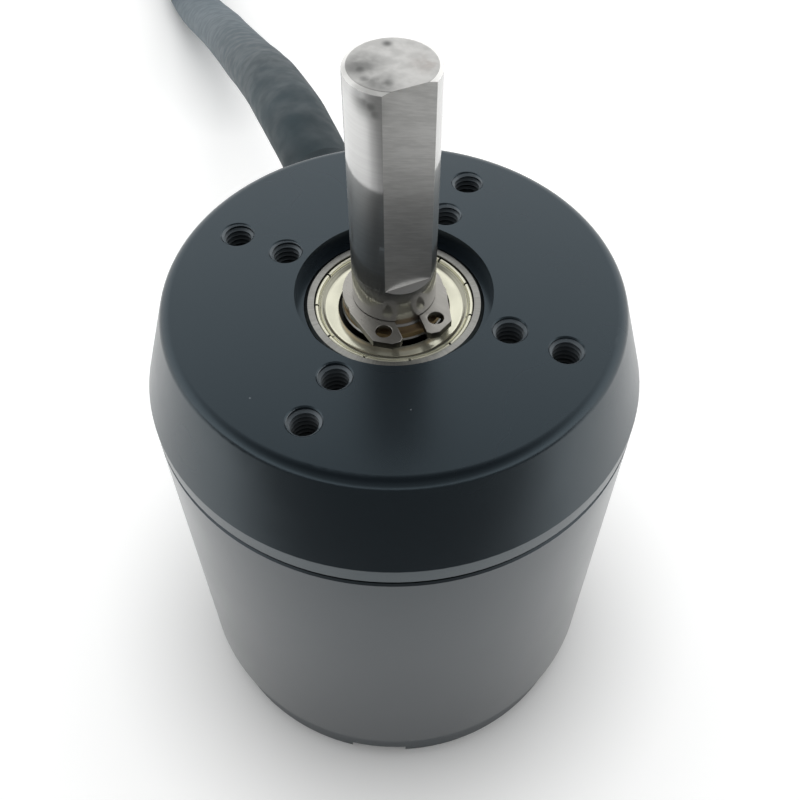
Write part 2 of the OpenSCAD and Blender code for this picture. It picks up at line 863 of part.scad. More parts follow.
front_housing();
cable_grommet();
phase_inner_leads();
sensor_inner_leads();
front_bearing_outer_ring();
rear_bearing_outer_ring();
bearing_shields();
preload_washer();
stator_core();
front_insulator();
rear_insulator();
coils_phase_a();
coils_phase_b();
coils_phase_c();
sensor_board();
position_sensors();
shaft();
retaining_ring();
shim_washer();
front_bearing_inner_ring();
rear_bearing_inner_ring();
front_balls();
front_ball_cage();
rear_balls();
rear_ball_cage();
can();
magnets_north();
magnets_south();
rear_cap();
set_screws();
cable_sleeve();
lead_boot();
phase_lead_a();
phase_lead_b();
phase_lead_c();
bullet_a();
bullet_b();
bullet_c();
sensor_lead();
sensor_plug();
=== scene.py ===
"""Finish, lead, stage and camera of a sealed outrunner motor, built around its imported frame."""

import json
import math
from itertools import accumulate

import bpy
from mathutils import Matrix, Vector, kdtree, noise

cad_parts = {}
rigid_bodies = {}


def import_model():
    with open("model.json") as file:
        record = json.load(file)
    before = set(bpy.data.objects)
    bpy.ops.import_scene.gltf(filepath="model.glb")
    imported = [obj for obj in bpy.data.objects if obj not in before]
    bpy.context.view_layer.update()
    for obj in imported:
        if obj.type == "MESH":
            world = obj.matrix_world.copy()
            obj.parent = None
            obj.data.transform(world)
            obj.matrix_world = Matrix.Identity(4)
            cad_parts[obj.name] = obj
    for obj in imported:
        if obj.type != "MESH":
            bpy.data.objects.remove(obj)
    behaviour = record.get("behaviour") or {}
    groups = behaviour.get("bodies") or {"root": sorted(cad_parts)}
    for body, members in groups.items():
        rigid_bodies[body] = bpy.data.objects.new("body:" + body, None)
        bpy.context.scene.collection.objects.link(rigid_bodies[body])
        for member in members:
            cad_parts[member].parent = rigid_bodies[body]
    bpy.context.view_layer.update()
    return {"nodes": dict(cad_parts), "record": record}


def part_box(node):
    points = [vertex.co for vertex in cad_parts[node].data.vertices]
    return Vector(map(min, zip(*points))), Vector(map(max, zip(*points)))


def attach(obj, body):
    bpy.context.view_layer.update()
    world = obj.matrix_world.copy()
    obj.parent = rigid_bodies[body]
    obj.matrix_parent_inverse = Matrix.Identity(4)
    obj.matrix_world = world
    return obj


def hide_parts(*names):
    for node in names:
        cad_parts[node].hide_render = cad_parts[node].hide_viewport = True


bl_info = {
    "name": "Outrunner Motor Finish",
    "version": (1, 0, 0),
    "blender": (4, 5, 0),
    "location": "3D View > Sidebar > Motor",
    "description": "Gives a sealed outrunner motor its finish, its lead and a pale studio floor",
    "category": "Object",
}

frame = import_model()
NODES = frame["nodes"]
MM = 0.001

# Made finishes are named apart from the frame's plain ones, which have the bare slot names
FINISH_PREFIX = "motor_"

# Colours that age or handling leaves, whatever the base colour is; some of them are painted light or
# shade, as marked below
# Painted sheen: the sleeve is painted lighter far from the housing, in place of the light that it catches
# there
SLEEVE_FAR_SHEEN = (0.085, 0.115, 0.135)
# Painted sheen: the upright lip is painted lighter than the rest of the housing
LIP_PAINTED_SHEEN = (0.012, 0.0145, 0.0155)
DUST = (0.3, 0.32, 0.34)
# Partly oil, partly painted shade in the gap between a bearing's rings
OIL_AND_SHADE = (0.012, 0.012, 0.011)
STAIN = (0.07, 0.076, 0.074)
RUST = (0.3, 0.26, 0.24)
SPECK = (0.16, 0.16, 0.12)

# The floor that the motor stands on, and the bearing that shows in the recess
FLOOR_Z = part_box("rear_cap")[0].z
BEARING_LOW, BEARING_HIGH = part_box("front_bearing_outer_ring")
BEARING_HALF = (BEARING_HIGH.z - BEARING_LOW.z) / 2
BALL_SPACE = (6.25 * MM, 9.75 * MM)
BEARING_CENTRES = [
    (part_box(name)[0].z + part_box(name)[1].z) / 2
    for name in ("front_bearing_outer_ring", "rear_bearing_outer_ring")
]
SHAFT_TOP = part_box("shaft")[1].z

# Mounting holes: two circles of four, in one cross
HOLE_CIRCLES = (22 * MM, 15 * MM)
HOLES_IN_CIRCLE = 4

# Where a thread starts below the face, and half the width of its ridge at foot and crest, as shares of
# its pitch
THREAD_TOP = -0.13 * MM
RIDGE_HALVES = (0.36, 0.06)

# The housing's edge between face and cone: where both would meet, the cone's slope from upright, and
# how far the solid rounds it
EDGE_CORNER = 27.817 * MM
CONE_SLOPE = math.radians(16.8)
EDGE_ROUNDING = 2 * MM

# The shaft's flat: its direction, its distance from the axis, and the height where it starts
FLAT_DIRECTION = math.radians(-40)
FLAT_REACH = 4.1 * MM
FLAT_FROM = 4.5 * MM

# Radius where the solid's chamfer at the shaft's tip starts, and its width and height
TIP_RADIUS = 4.5 * MM
TIP_CHAMFER = 0.5 * MM

# Upright lip below the housing's cone, and the grooves in a bearing shield, darkened partly as grease and
# partly as painted shade
LIP_HEIGHTS = (-12.25 * MM, -14.75 * MM)
SHIELD_GROOVES = ((8.38 * MM, 8.88 * MM), (9.06 * MM, 9.17 * MM))

# Routes of the lead's centre lines, as the solids have them, in metres
SLEEVE_ROUTE = [
    (-0.022, 0.022, -0.0076), (-0.027, 0.027, -0.0076), (-0.032, 0.032, -0.0085),
    (-0.038, 0.0382, -0.0106), (-0.045, 0.0456, -0.0137), (-0.054, 0.0552, -0.019),
    (-0.064, 0.066, -0.0257), (-0.075, 0.078, -0.033), (-0.087, 0.091, -0.041),
    (-0.099, 0.104, -0.049), (-0.111, 0.1165, -0.0568), (-0.121, 0.1265, -0.0626),
    (-0.129, 0.1345, -0.0666), (-0.136, 0.142, -0.0685), (-0.143, 0.15, -0.069),
    (-0.15, 0.158, -0.069), (-0.1565, 0.1685, -0.069), (-0.16, 0.18, -0.069),
    (-0.1605, 0.193, -0.069), (-0.1565, 0.2055, -0.069), (-0.1495, 0.2165, -0.069),
    (-0.1395, 0.2245, -0.0688), (-0.1285, 0.2295, -0.0683), (-0.118, 0.231, -0.068),
    (-0.108, 0.231, -0.068),
]
PHASE_ROUTE_A = [
    (-0.086, 0.2284, -0.0704), (-0.084, 0.2284, -0.0704), (-0.082, 0.2284, -0.0704),
    (-0.078, 0.2281, -0.0707), (-0.074, 0.2273, -0.0711), (-0.07, 0.2261, -0.0715),
    (-0.066, 0.2248, -0.0718), (-0.062, 0.2236, -0.0719), (-0.058, 0.2228, -0.0719),
    (-0.053, 0.2222, -0.0719), (-0.048, 0.222, -0.0719), (-0.043, 0.222, -0.0719),
    (-0.037, 0.222, -0.0719), (-0.031, 0.222, -0.0719), (-0.025, 0.222, -0.0719),
]
LEAD_MIDDLE_Y = 0.231
PHASE_ROUTE_B = [(x, 2 * LEAD_MIDDLE_Y - y, z) for x, y, z in PHASE_ROUTE_A]
PHASE_ROUTE_C = [
    (-0.086, 0.2291, -0.0656), (-0.084, 0.2291, -0.0656), (-0.082, 0.2291, -0.0656),
    (-0.078, 0.2292, -0.0661), (-0.074, 0.2294, -0.0672), (-0.07, 0.2296, -0.0686),
    (-0.066, 0.2299, -0.07), (-0.062, 0.2302, -0.0711), (-0.058, 0.2306, -0.0717),
    (-0.053, 0.2309, -0.0719), (-0.048, 0.231, -0.0719), (-0.043, 0.231, -0.0719),
    (-0.037, 0.231, -0.0719), (-0.031, 0.231, -0.0719), (-0.025, 0.231, -0.0719),
]
SENSOR_ROUTE = [
    (-0.086, 0.2339, -0.0658), (-0.083, 0.2339, -0.0658), (-0.08, 0.2339, -0.0658),
    (-0.076, 0.235, -0.0659), (-0.072, 0.237, -0.0664), (-0.068, 0.2398, -0.0674),
    (-0.064, 0.2428, -0.0689), (-0.06, 0.2454, -0.0705), (-0.056, 0.2474, -0.0718),
    (-0.051, 0.2486, -0.0725), (-0.045, 0.249, -0.0727), (-0.037, 0.249, -0.0727),
    (-0.028, 0.249, -0.0727), (-0.017, 0.249, -0.0727), (-0.004, 0.249, -0.0727),
]

# How far a lead's smooth curve dips under its route where it comes down to the table
CURVE_DIP = 0.02 * MM


# Settings that a user would change


def colour(name, description, default):
    """A colour setting."""
    return bpy.props.FloatVectorProperty(
        name=name, description=description, default=default, subtype="COLOR", size=3, min=0, max=1
    )


def length(name, description, default):
    """A length setting, in metres."""
    return bpy.props.FloatProperty(
        name=name, description=description, default=default,
        subtype="DISTANCE", unit="LENGTH", precision=5
    )


def share(name, description, default):
    """A setting from 0 to 1."""
    return bpy.props.FloatProperty(
        name=name, description=description, default=default, subtype="FACTOR", min=0, max=1
    )


class MotorFinishSettings(bpy.types.PropertyGroup):
    """Colours and roughness of the motor's surfaces"""

    anodised: colour("Anodised", "Colour of the anodised housing and rear cap", (0.003, 0.0045, 0.0065))
    # Painted highlight: the threads are painted much lighter than the rest of the anodised metal, in
    # place of light on their crests
    thread: colour("Threads", "Anodised metal on the crests of the threads", (0.075, 0.092, 0.105))
    can: colour("Can", "Colour of the black coated can", (0.003, 0.0045, 0.006))
    anodised_roughness: share("Anodised roughness", "Roughness of the anodised surfaces", 0.26)
    can_roughness: share("Can roughness", "Roughness of the coated can", 0.2)
    shaft: colour("Shaft", "Colour of the shaft's steel", (0.5, 0.497, 0.485))
    shaft_roughness: share("Shaft roughness", "Roughness left by grinding the shaft", 0.36)
    bearing: colour("Bearing rings", "Colour of the bearing's ground rings", (0.345, 0.345, 0.325))
    shield: colour("Shield", "Colour of the pressed bearing shield", (0.8, 0.79, 0.64))
    ring: colour("Retaining ring", "Colour of the stamped retaining ring", (0.37, 0.36, 0.335))
    shim: colour("Shim washer", "Colour of the brass washer below the retaining ring", (0.34, 0.25, 0.15))
    sleeve: colour("Sleeve", "Colour of the lead's matte sleeve", (0.0125, 0.0225, 0.027))


class MotorDetailSettings(bpy.types.PropertyGroup):
    """Sizes of the details that are modelled over the solids"""

    edge_rounding: length("Edge rounding", "Radius of the housing's edge between face and cone", 1.5 * MM)
    flat_runout: bpy.props.FloatProperty(
        name="Run-out of the flat", description="Slope of the ledge below the shaft's flat",
        default=math.radians(23), subtype="ANGLE"
    )
    tip_height: length("Tip height", "Height of the chamfer at the shaft's tip", 0.24 * MM)
    thread_pitch: length("Thread pitch", "Distance from one thread ridge to the next", 0.7 * MM)
    thread_depth: length("Thread depth", "Depth of the thread below the face", 7.7 * MM)
    thread_outer: length("Thread outside radius", "Radius at the foot of the thread ridge", 2.0 * MM)
    thread_inner: length("Thread inside radius", "Radius at the crest of the thread ridge", 1.64 * MM)
    mouth_radius: length("Mouth radius", "Radius of the holes' countersunk mouth, at the face", 2.15 * MM)
    crimp_count: bpy.props.IntProperty(
        name="Crimp slits", description="Number of slits in the shield's rolled rim", default=11, min=1
    )
    crimp_first: bpy.props.FloatProperty(
        name="First crimp slit", description="Direction of the first slit",
        default=math.radians(12), subtype="ANGLE"
    )
    crimp_depth: length("Crimp slit depth", "Depth of a slit in the shield's rolled rim", 0.42 * MM)
    ring_edge: length("Retaining ring edge", "Width of the broken edge of the retaining ring", 0.11 * MM)
    shaft_edge: length("Shaft edge", "Width of the broken edges of the shaft", 0.06 * MM)
    shaft_end: length("Shaft end", "Width of the rounding on the edges of the shaft's chamfer", 0.1 * MM)


class MotorLeadSettings(bpy.types.PropertyGroup):
    """Sizes of the lead"""

    sleeve_diameter: length("Sleeve diameter", "Outside diameter of the sleeved lead", 10 * MM)
    phase_diameter: length("Phase lead diameter", "Outside diameter of a phase lead", 4.2 * MM)
    sensor_diameter: length("Sensor lead diameter", "Outside diameter of the sensor lead", 2.6 * MM)
    crease_depth: length("Crease depth", "Depth of the deepest crease near the housing", 0.55 * MM)
    lump_depth: length("Lump depth", "Height of the soft lumps all along the sleeve", 0.04 * MM)
    sleeve_neck: length("Sleeve neck", "How much thinner the sleeve is at the housing", 0.35 * MM)
    sleeve_flatness: share("Sleeve flatness", "How far the sleeve flattens on the table", 0.17)


class MotorStageSettings(bpy.types.PropertyGroup):
    """Camera, floor and light"""

    camera_place: bpy.props.FloatVectorProperty(
        name="Camera place", description="Place of the camera", default=(0.03686, -0.07392, 0.08415),
        subtype="TRANSLATION", unit="LENGTH", precision=5
    )
    camera_back: bpy.props.FloatVectorProperty(
        name="Camera back", description="Direction from the view's middle to the camera",
        default=(0.2698, -0.5531, 0.7882), subtype="DIRECTION"
    )
    lens: bpy.props.FloatProperty(
        name="Lens", description="Focal length in millimetres on a sensor 36 mm wide", default=43.886
    )
    floor: colour("Floor", "Colour of the floor", (0.92, 0.925, 0.92))
    floor_glow: share("Floor glow", "White that the floor adds where it is seen, to read as white", 0.3)
    horizon_level: bpy.props.FloatProperty(
        name="Horizon", description="Brightness of the surroundings near the floor", default=1.35, min=0
    )
    overhead_level: bpy.props.FloatProperty(
        name="Overhead", description="Brightness of the surroundings overhead", default=0.5, min=0
    )
    front_level: share("Front", "Share of that brightness left in front, where the room is darker", 0.2)
    front_elevation: bpy.props.FloatProperty(
        name="Front elevation", description="Height of the darkest part of the room in front",
        default=math.radians(60), subtype="ANGLE"
    )
    softbox_power: bpy.props.FloatProperty(
        name="Softbox", description="Power of the softbox above and behind the motor",
        default=7.6, min=0, unit="POWER"
    )


SETTING_GROUPS = (
    ("motor_finish", MotorFinishSettings),
    ("motor_detail", MotorDetailSettings),
    ("motor_lead", MotorLeadSettings),
    ("motor_stage", MotorStageSettings),
)


# Selecting, and shaping in edit mode


def select_only(*objects):
    """Leave just these objects selected, with the first one active."""
    bpy.ops.object.select_all(action="DESELECT")
    for o in objects:
        o.select_set(True)
    bpy.context.view_layer.objects.active = objects[0]


def edit_all():
    """Go into edit mode with everything selected."""
    bpy.ops.object.mode_set(mode="EDIT")
    bpy.ops.mesh.select_all(action="SELECT")


def leave_edit():
    """Go back to object mode."""
    bpy.ops.object.mode_set(mode="OBJECT")


def select_faces(obj, wanted):
    """In edit mode, select just the faces whose centre is wanted."""
    bpy.ops.mesh.select_all(action="DESELECT")
    leave_edit()
    for polygon in obj.data.polygons:
        polygon.select = wanted(polygon.center)
    bpy.ops.object.mode_set(mode="EDIT")


def close_and_orient(obj):
    """Merge doubled corners and turn every face outwards."""
    select_only(obj)
    edit_all()
    bpy.ops.mesh.remove_doubles(threshold=1e-6)
    bpy.ops.mesh.normals_make_consistent(inside=False)
    leave_edit()


def apply_modifiers(obj):
    """Apply all of a piece's modifiers in order."""
    select_only(obj)
    for modifier in list(obj.modifiers):
        bpy.ops.object.modifier_apply(modifier=modifier.name)


def copy_moved(obj, matrix):
    """A copy of a piece with its own mesh, moved by the matrix, with its object left at the origin."""
    select_only(obj)
    bpy.ops.object.duplicate(linked=False)
    copy = bpy.context.object
    copy.data.transform(matrix)
    return copy


def join(objects, name):
    """Join pieces into the first of them."""
    select_only(*objects)
    bpy.ops.object.join()
    joined = bpy.context.object
    joined.name = joined.data.name = name
    return joined


def outline_object(name, outline):
    """A closed outline of radius and height pairs, drawn in the XZ plane by extruding a corner."""
    bpy.ops.mesh.primitive_plane_add(size=MM)
    obj = bpy.context.object
    obj.name = obj.data.name = name
    edit_all()
    bpy.ops.mesh.merge(type="CENTER")
    at = Vector((outline[0][0], 0, outline[0][1]))
    bpy.ops.transform.translate(value=at)
    for radius, height in outline[1:]:
        place = Vector((radius, 0, height))
        bpy.ops.mesh.extrude_region_move(TRANSFORM_OT_translate={"value": place - at})
        at = place
    bpy.ops.mesh.select_all(action="SELECT")
    bpy.ops.mesh.edge_face_add()
    bpy.ops.mesh.delete(type="ONLY_FACE")
    leave_edit()
    return obj


def spin_round(obj, steps):
    """Spin an outline once round the Z axis and close it."""
    select_only(obj)
    edit_all()
    bpy.ops.mesh.spin(steps=steps, angle=2 * math.pi, center=(0, 0, 0), axis=(0, 0, 1))
    leave_edit()
    close_and_orient(obj)


def soften(obj, angle):
    """Shade smooth, with edges sharper than the angle left sharp."""
    select_only(obj)
    bpy.ops.object.shade_smooth_by_angle(angle=math.radians(angle))


# Building materials from nodes


class Tree:
    """A node tree, with short calls that add a node and return its result."""

    def __init__(self, tree):
        self.tree = tree

    def add(self, kind, values=None, **settings):
        """Add a node. A value that is another node's output is linked."""
        made = self.tree.nodes.new("ShaderNode" + kind)
        for name, value in settings.items():
            setattr(made, name, value)
        for name, value in (values or {}).items():
            self.put(made.inputs[name], value)
        return made

    def put(self, socket, value):
        """Link an output to a socket, or set a plain value on it."""
        if isinstance(value, bpy.types.NodeSocket):
            self.tree.links.new(value, socket)
        else:
            socket.default_value = value

    def math(self, operation, *values):
        """A sum, product or other function of numbers."""
        made = self.add("Math", operation=operation)
        for socket, value in zip(made.inputs, values):
            self.put(socket, value)
        return made.outputs[0]

    def times(self, first, second):
        """The product of two numbers."""
        return self.math("MULTIPLY", first, second)

    def remap(self, value, low, high, to_low=0.0, to_high=1.0):
        """Map a value from one range to another, with a soft start and end."""
        values = {"Value": value, "From Min": low, "From Max": high, "To Min": to_low, "To Max": to_high}
        return self.add("MapRange", values, interpolation_type="SMOOTHSTEP").outputs[0]

    def axes(self, vector):
        """The three numbers of a place."""
        return self.add("SeparateXYZ", {"Vector": vector}).outputs

    def along(self, vector, direction):
        """How far a place lies along a direction."""
        return self.add("VectorMath", {0: vector, 1: direction}, operation="DOT_PRODUCT").outputs["Value"]


class Graph(Tree):
    """A material's node tree, with its surface shader and the place on the object."""

    def __init__(self, name, roughness, metallic=0.0):
        self.material = bpy.data.materials.new(name)
        self.material.use_nodes = True
        super().__init__(self.material.node_tree)
        self.shader = self.tree.nodes["Principled BSDF"]
        self.set("Roughness", roughness)
        self.set("Metallic", metallic)
        self.place = self.add("TexCoord").outputs["Object"]

    def set(self, name, value):
        """Set or link one of the surface shader's sockets."""
        if not isinstance(value, bpy.types.NodeSocket) and hasattr(value, "__len__") and len(value) == 3:
            value = (*value, 1.0)
        self.put(self.shader.inputs[name], value)

    def noise(self, scale, detail=2.0, vector=None):
        """Noise from 0 to 1."""
        values = {"Vector": vector or self.place, "Scale": scale, "Detail": detail}
        return self.add("TexNoise", values).outputs[0]

    def mix(self, factor, first, second):
        """Mix two colours."""
        made = self.add("Mix", data_type="RGBA")
        colours = [s for s in made.inputs if s.type == "RGBA"]
        self.put(made.inputs[0], factor)
        for socket, value in zip(colours, (first, second)):
            if not isinstance(value, bpy.types.NodeSocket) and len(value) == 3:
                value = (*value, 1.0)
            self.put(socket, value)
        return next(s for s in made.outputs if s.type == "RGBA")

    def vector(self, x, y, z):
        """A place from three numbers."""
        made = self.add("CombineXYZ")
        for socket, value in zip(made.inputs, (x, y, z)):
            self.put(socket, value)
        return made.outputs[0]

    def stretched(self, scale, turn=(0, 0, 0)):
        """The place, turned and then stretched, for patterns with a grain."""
        turned = self.add("Mapping", {"Vector": self.place, "Rotation": turn})
        return self.add("Mapping", {"Vector": turned.outputs[0], "Scale": scale}).outputs[0]

    def flattened(self, turn, slope):
        """The place turned about Z, then tilted about X, for marks that run aslant on an upright flat."""
        upright = self.add("Mapping", {"Vector": self.place, "Rotation": (0, 0, turn)}).outputs[0]
        return self.add("Mapping", {"Vector": upright, "Rotation": (slope, 0, 0)}).outputs[0]

    def polar(self):
        """The angle round the Z axis, the distance from it, and the height."""
        x, y, z = self.axes(self.place)
        angle = self.math("ARCTAN2", y, x)
        square = self.math("ADD", self.times(x, x), self.times(y, y))
        return angle, self.math("SQRT", square), z

    def bump(self, height, depth, strength=1.0, normal=None):
        """Relief of a given depth in metres."""
        values = {"Height": height, "Distance": depth, "Strength": strength}
        if normal is not None:
            values["Normal"] = normal
        return self.add("Bump", values).outputs[0]

    def near(self, point, reach):
        """1 at a point, falling to 0 at a distance."""
        gap = self.add("VectorMath", {0: self.place, 1: point}, operation="DISTANCE").outputs["Value"]
        return self.remap(gap, 0.0, reach, 1.0, 0.0)


def shade(colour_value, factor):
    """A darker or lighter version of a colour."""
    return tuple(min(1.0, channel * factor) for channel in colour_value)


# Finishes


def anodised(name, base, roughness, tint, dusty):
    """Black anodised metal: satin, bluish, finely blasted, dusty, and painted lighter on the upright lip
    as a painted sheen.
    """
    g = Graph(name, roughness)
    cloud = g.noise(45, 2)
    tone = g.mix(g.remap(cloud, 0.35, 0.65), shade(base, 0.92), shade(base, 1.08))
    _, _, height = g.axes(g.place)
    lip_top, lip_foot = LIP_HEIGHTS
    below_top = g.math("LESS_THAN", height, lip_top)
    above_foot = g.math("GREATER_THAN", height, lip_foot)
    # Painted sheen: the upright lip, between these heights, is painted lighter
    tone = g.mix(g.times(below_top, above_foot), tone, LIP_PAINTED_SHEEN)
    if dusty:
        cells = g.add("TexVoronoi", {"Vector": g.place, "Scale": 300.0, "Randomness": 1.0})
        dot = g.remap(cells.outputs["Distance"], 0.012, 0.045, 1.0, 0.0)
        chosen = g.math("GREATER_THAN", g.axes(cells.outputs["Color"])[0], 0.84)
        tone = g.mix(g.times(g.times(dot, chosen), 0.45), tone, DUST)
    g.set("Base Color", tone)
    g.set("Roughness", g.remap(g.noise(60, 2), 0.3, 0.7, roughness - 0.01, roughness + 0.02))
    g.set("IOR", 1.66)
    g.set("Specular Tint", tint)
    g.set("Normal", g.bump(g.noise(14000, 1), 0.5e-6, 0.5))
    return g.material


def ring_mask(g, radius, low, high):
    """1 where the distance from the axis lies between two radii."""
    return g.times(g.math("GREATER_THAN", radius, low), g.math("LESS_THAN", radius, high))


def turned_steel(name, base, roughness, ridge, across=False, oily_and_shaded=False):
    """Ground or turned steel: fine rings round the axis, or fine hatching across them, and darkened
    between the rings inside, partly as oil and partly as painted shade.
    """
    g = Graph(name, roughness, 1.0)
    angle, radius, height = g.polar()
    fine_round, fine_out = (95, 260) if across else (0.6, 9000)
    stretches = ((angle, fine_round), (radius, fine_out), (height, fine_out))
    grain = g.noise(1.0, 3, g.vector(*(g.times(value, scale) for value, scale in stretches)))
    tone = g.mix(g.remap(grain, 0.25, 0.75), shade(base, 0.82), shade(base, 1.08))
    if oily_and_shaded:
        # Painted shade, partly oil: dark between the inner and outer ring, inside the bearing
        gaps = [g.math("ABSOLUTE", g.math("SUBTRACT", height, centre)) for centre in BEARING_CENTRES]
        inside = g.math("LESS_THAN", g.math("MINIMUM", *gaps), BEARING_HALF - 0.2 * MM)
        between = ring_mask(g, radius, *BALL_SPACE)
        tone = g.mix(g.times(inside, between), tone, OIL_AND_SHADE)
    g.set("Base Color", tone)
    g.set("Roughness", g.remap(g.noise(300, 2), 0.3, 0.7, roughness * 0.85, roughness * 1.2))
    g.set("Normal", g.bump(grain, ridge))
    return g.material


# Stains on the shaft's end and edge: place and reach in millimetres, and strength
SHAFT_STAINS = (
    ((-2.6, -1.7, 30.5), 3.6, 0.75), ((0.2, -3.4, 30.5), 2.8, 0.7), ((-0.3, -5.0, 29.4), 3.0, 0.85),
    ((-3.7, -0.8, 30.5), 1.2, 0.9), ((-2.4, -2.1, 30.5), 1.4, 1.0), ((-1.3, -3.2, 30.5), 1.1, 0.9),
    ((-0.3, -3.0, 30.5), 1.2, 0.9), ((0.8, -3.0, 30.5), 1.4, 1.0), ((-2.0, 2.9, 30.5), 0.8, 0.8),
    ((0.1, -5.0, 29.0), 1.5, 1.0), ((0.5, -5.0, 28.2), 1.1, 0.8), ((-0.9, -4.9, 29.4), 1.5, 0.7),
)


def shaft_steel(name, settings):
    """The shaft: polished over its grinding marks, brushed aslant on the flat, stained on its end, and
    painted much lighter on the rim of its tip's chamfer as a painted highlight.
    """
    base, roughness = settings.shaft, settings.shaft_roughness
    g = Graph(name, roughness, 1.0)
    height = g.axes(g.place)[2]
    outward = (math.cos(FLAT_DIRECTION), math.sin(FLAT_DIRECTION), 0)
    along = g.along(g.place, outward)
    above_flat = g.math("GREATER_THAN", height, FLAT_FROM - 0.05 * MM)
    on_plane = g.math("LESS_THAN", g.math("ABSOLUTE", g.math("SUBTRACT", along, FLAT_REACH)), 0.02 * MM)
    on_flat = g.times(on_plane, above_flat)
    on_end = g.math("GREATER_THAN", height, SHAFT_TOP - 0.03 * MM)
    radius = g.polar()[1]
    near_tip = g.math("GREATER_THAN", height, SHAFT_TOP - 0.25 * MM)
    on_rim = g.times(near_tip, g.math("GREATER_THAN", radius, TIP_RADIUS + 0.05 * MM))
    on_rim = g.times(on_rim, g.math("SUBTRACT", 1.0, on_plane))

    ground = g.noise(1.0, 2, g.stretched((90, 90, 4200)))
    aslant = g.flattened(-FLAT_DIRECTION, math.radians(20))
    brushed = g.noise(1.0, 3, g.add("Mapping", {"Vector": aslant, "Scale": (600, 600, 5200)}).outputs[0])
    broad = g.noise(1.0, 2, g.add("Mapping", {"Vector": aslant, "Scale": (140, 140, 700)}).outputs[0])
    spotted = g.noise(620, 3)

    tone = g.mix(g.remap(ground, 0.3, 0.7), shade(base, 0.97), shade(base, 1.03))
    flat_grain = g.math("ADD", g.times(brushed, 0.5), g.times(broad, 0.5))
    flat_tone = g.mix(g.remap(flat_grain, 0.35, 0.65), shade(base, 1.02), shade(base, 1.26))
    tone = g.mix(on_flat, tone, flat_tone)
    end_tone = g.mix(g.remap(spotted, 0.35, 0.65), shade(base, 0.86), shade(base, 1.04))
    tone = g.mix(on_end, tone, end_tone)
    # Painted highlight: the chamfer's rim is painted much lighter
    tone = g.mix(on_rim, tone, shade(base, 1.8))

    dark = None
    for place, reach, strength in SHAFT_STAINS:
        spot = g.times(g.near(tuple(c * MM for c in place), reach * MM), strength)
        dark = spot if dark is None else g.math("MAXIMUM", dark, spot)
    ragged = g.times(dark, g.remap(g.noise(550, 2), 0.2, 0.62, 0.45, 1.0))
    tone = g.mix(g.times(ragged, 0.72), tone, STAIN)
    rust = g.near((2.9 * MM, 1.7 * MM, SHAFT_TOP), 2.4 * MM)
    rusty = g.times(g.times(rust, on_end), g.remap(g.noise(700, 3), 0.35, 0.6, 0.0, 0.5))
    tone = g.mix(rusty, tone, RUST)

    rough = g.math("ADD", roughness, g.times(ragged, 0.3))
    g.set("Base Color", tone)
    g.set("Roughness", rough)
    dull = g.math("ADD", g.times(on_flat, 0.13), g.times(on_rim, 0.5))
    g.set("Metallic", g.math("SUBTRACT", 1.0, dull))
    polish = g.math("SUBTRACT", 1.0, g.math("MAXIMUM", g.math("MAXIMUM", on_flat, on_rim), on_end))
    g.set("Coat Weight", g.times(polish, g.math("SUBTRACT", 1.0, ragged)))
    g.set("Coat Roughness", 0.06)
    g.set("Coat IOR", 3.6)
    fine = g.bump(ground, 0.15e-6)
    coarse = g.bump(g.times(brushed, on_flat), 0.9e-6, normal=fine)
    g.set("Normal", g.bump(g.times(spotted, on_end), 5e-6, normal=coarse))
    return g.material


def pressed_steel(name, base, roughness, specks_and_groove_shade, metallic=1.0):
    """Bright pressed sheet: soft unevenness, a faint orange peel, grooves darkened partly as grease and
    partly as painted shade, and a few dark specks.
    """
    g = Graph(name, roughness, metallic)
    tone = g.mix(g.remap(g.noise(260, 3), 0.35, 0.65), shade(base, 0.93), shade(base, 1.04))
    if specks_and_groove_shade:
        _, radius, _ = g.polar()
        # Painted shade, partly grease: the shield's grooves are painted darker
        dull = shade(base, 0.3)
        for low, high in SHIELD_GROOVES:
            tone = g.mix(g.times(ring_mask(g, radius, low, high), 0.85), tone, dull)
        cells = g.add("TexVoronoi", {"Vector": g.place, "Scale": 800.0})
        dot = g.math("LESS_THAN", cells.outputs["Distance"], 0.07)
        chosen = g.math("GREATER_THAN", g.axes(cells.outputs["Color"])[1], 0.86)
        tone = g.mix(g.times(dot, chosen), tone, SPECK)
    g.set("Base Color", tone)
    g.set("Roughness", g.remap(g.noise(2200, 2), 0.3, 0.7, roughness * 0.85, roughness * 1.25))
    g.set("Normal", g.bump(g.noise(2600, 2), 2.5e-6))
    return g.material


def brushed_steel(name, base, roughness, turn):
    """Satin stamped steel with a straight grain on its level faces, and sides painted darker by the way
    they face: partly a duller sheared finish, partly painted shade.
    """
    g = Graph(name, roughness, 1.0)
    grain = g.noise(1.0, 3, g.stretched((260, 5200, 260), (0, 0, math.radians(turn))))
    tone = g.mix(g.remap(grain, 0.3, 0.7), shade(base, 0.95), shade(base, 1.04))
    # Painted shade, partly a sheared finish: faces that do not lie level are painted darker
    facing = g.math("ABSOLUTE", g.axes(g.add("NewGeometry").outputs["Normal"])[2])
    g.set("Base Color", g.mix(g.remap(facing, 0.3, 0.6), shade(base, 0.3), tone))
    g.set("Roughness", g.remap(g.noise(500, 2), 0.3, 0.7, roughness * 0.85, roughness * 1.2))
    g.set("Normal", g.bump(grain, 0.3e-6))
    return g.material


def moulded(name, base, roughness, grain_scale=4000.0, depth=4e-6, coat=0.0):
    """Moulded plastic, rubber or enamel: mottled colour and a fine skin."""
    g = Graph(name, roughness)
    g.set("Base Color", g.mix(g.remap(g.noise(180, 3), 0.35, 0.65), shade(base, 0.86), shade(base, 1.12)))
    g.set("Roughness", g.remap(g.noise(700, 2), 0.3, 0.7, roughness * 0.88, min(1.0, roughness * 1.12)))
    g.set("Coat Weight", coat)
    g.set("Normal", g.bump(g.noise(grain_scale, 2), depth))
    return g.material


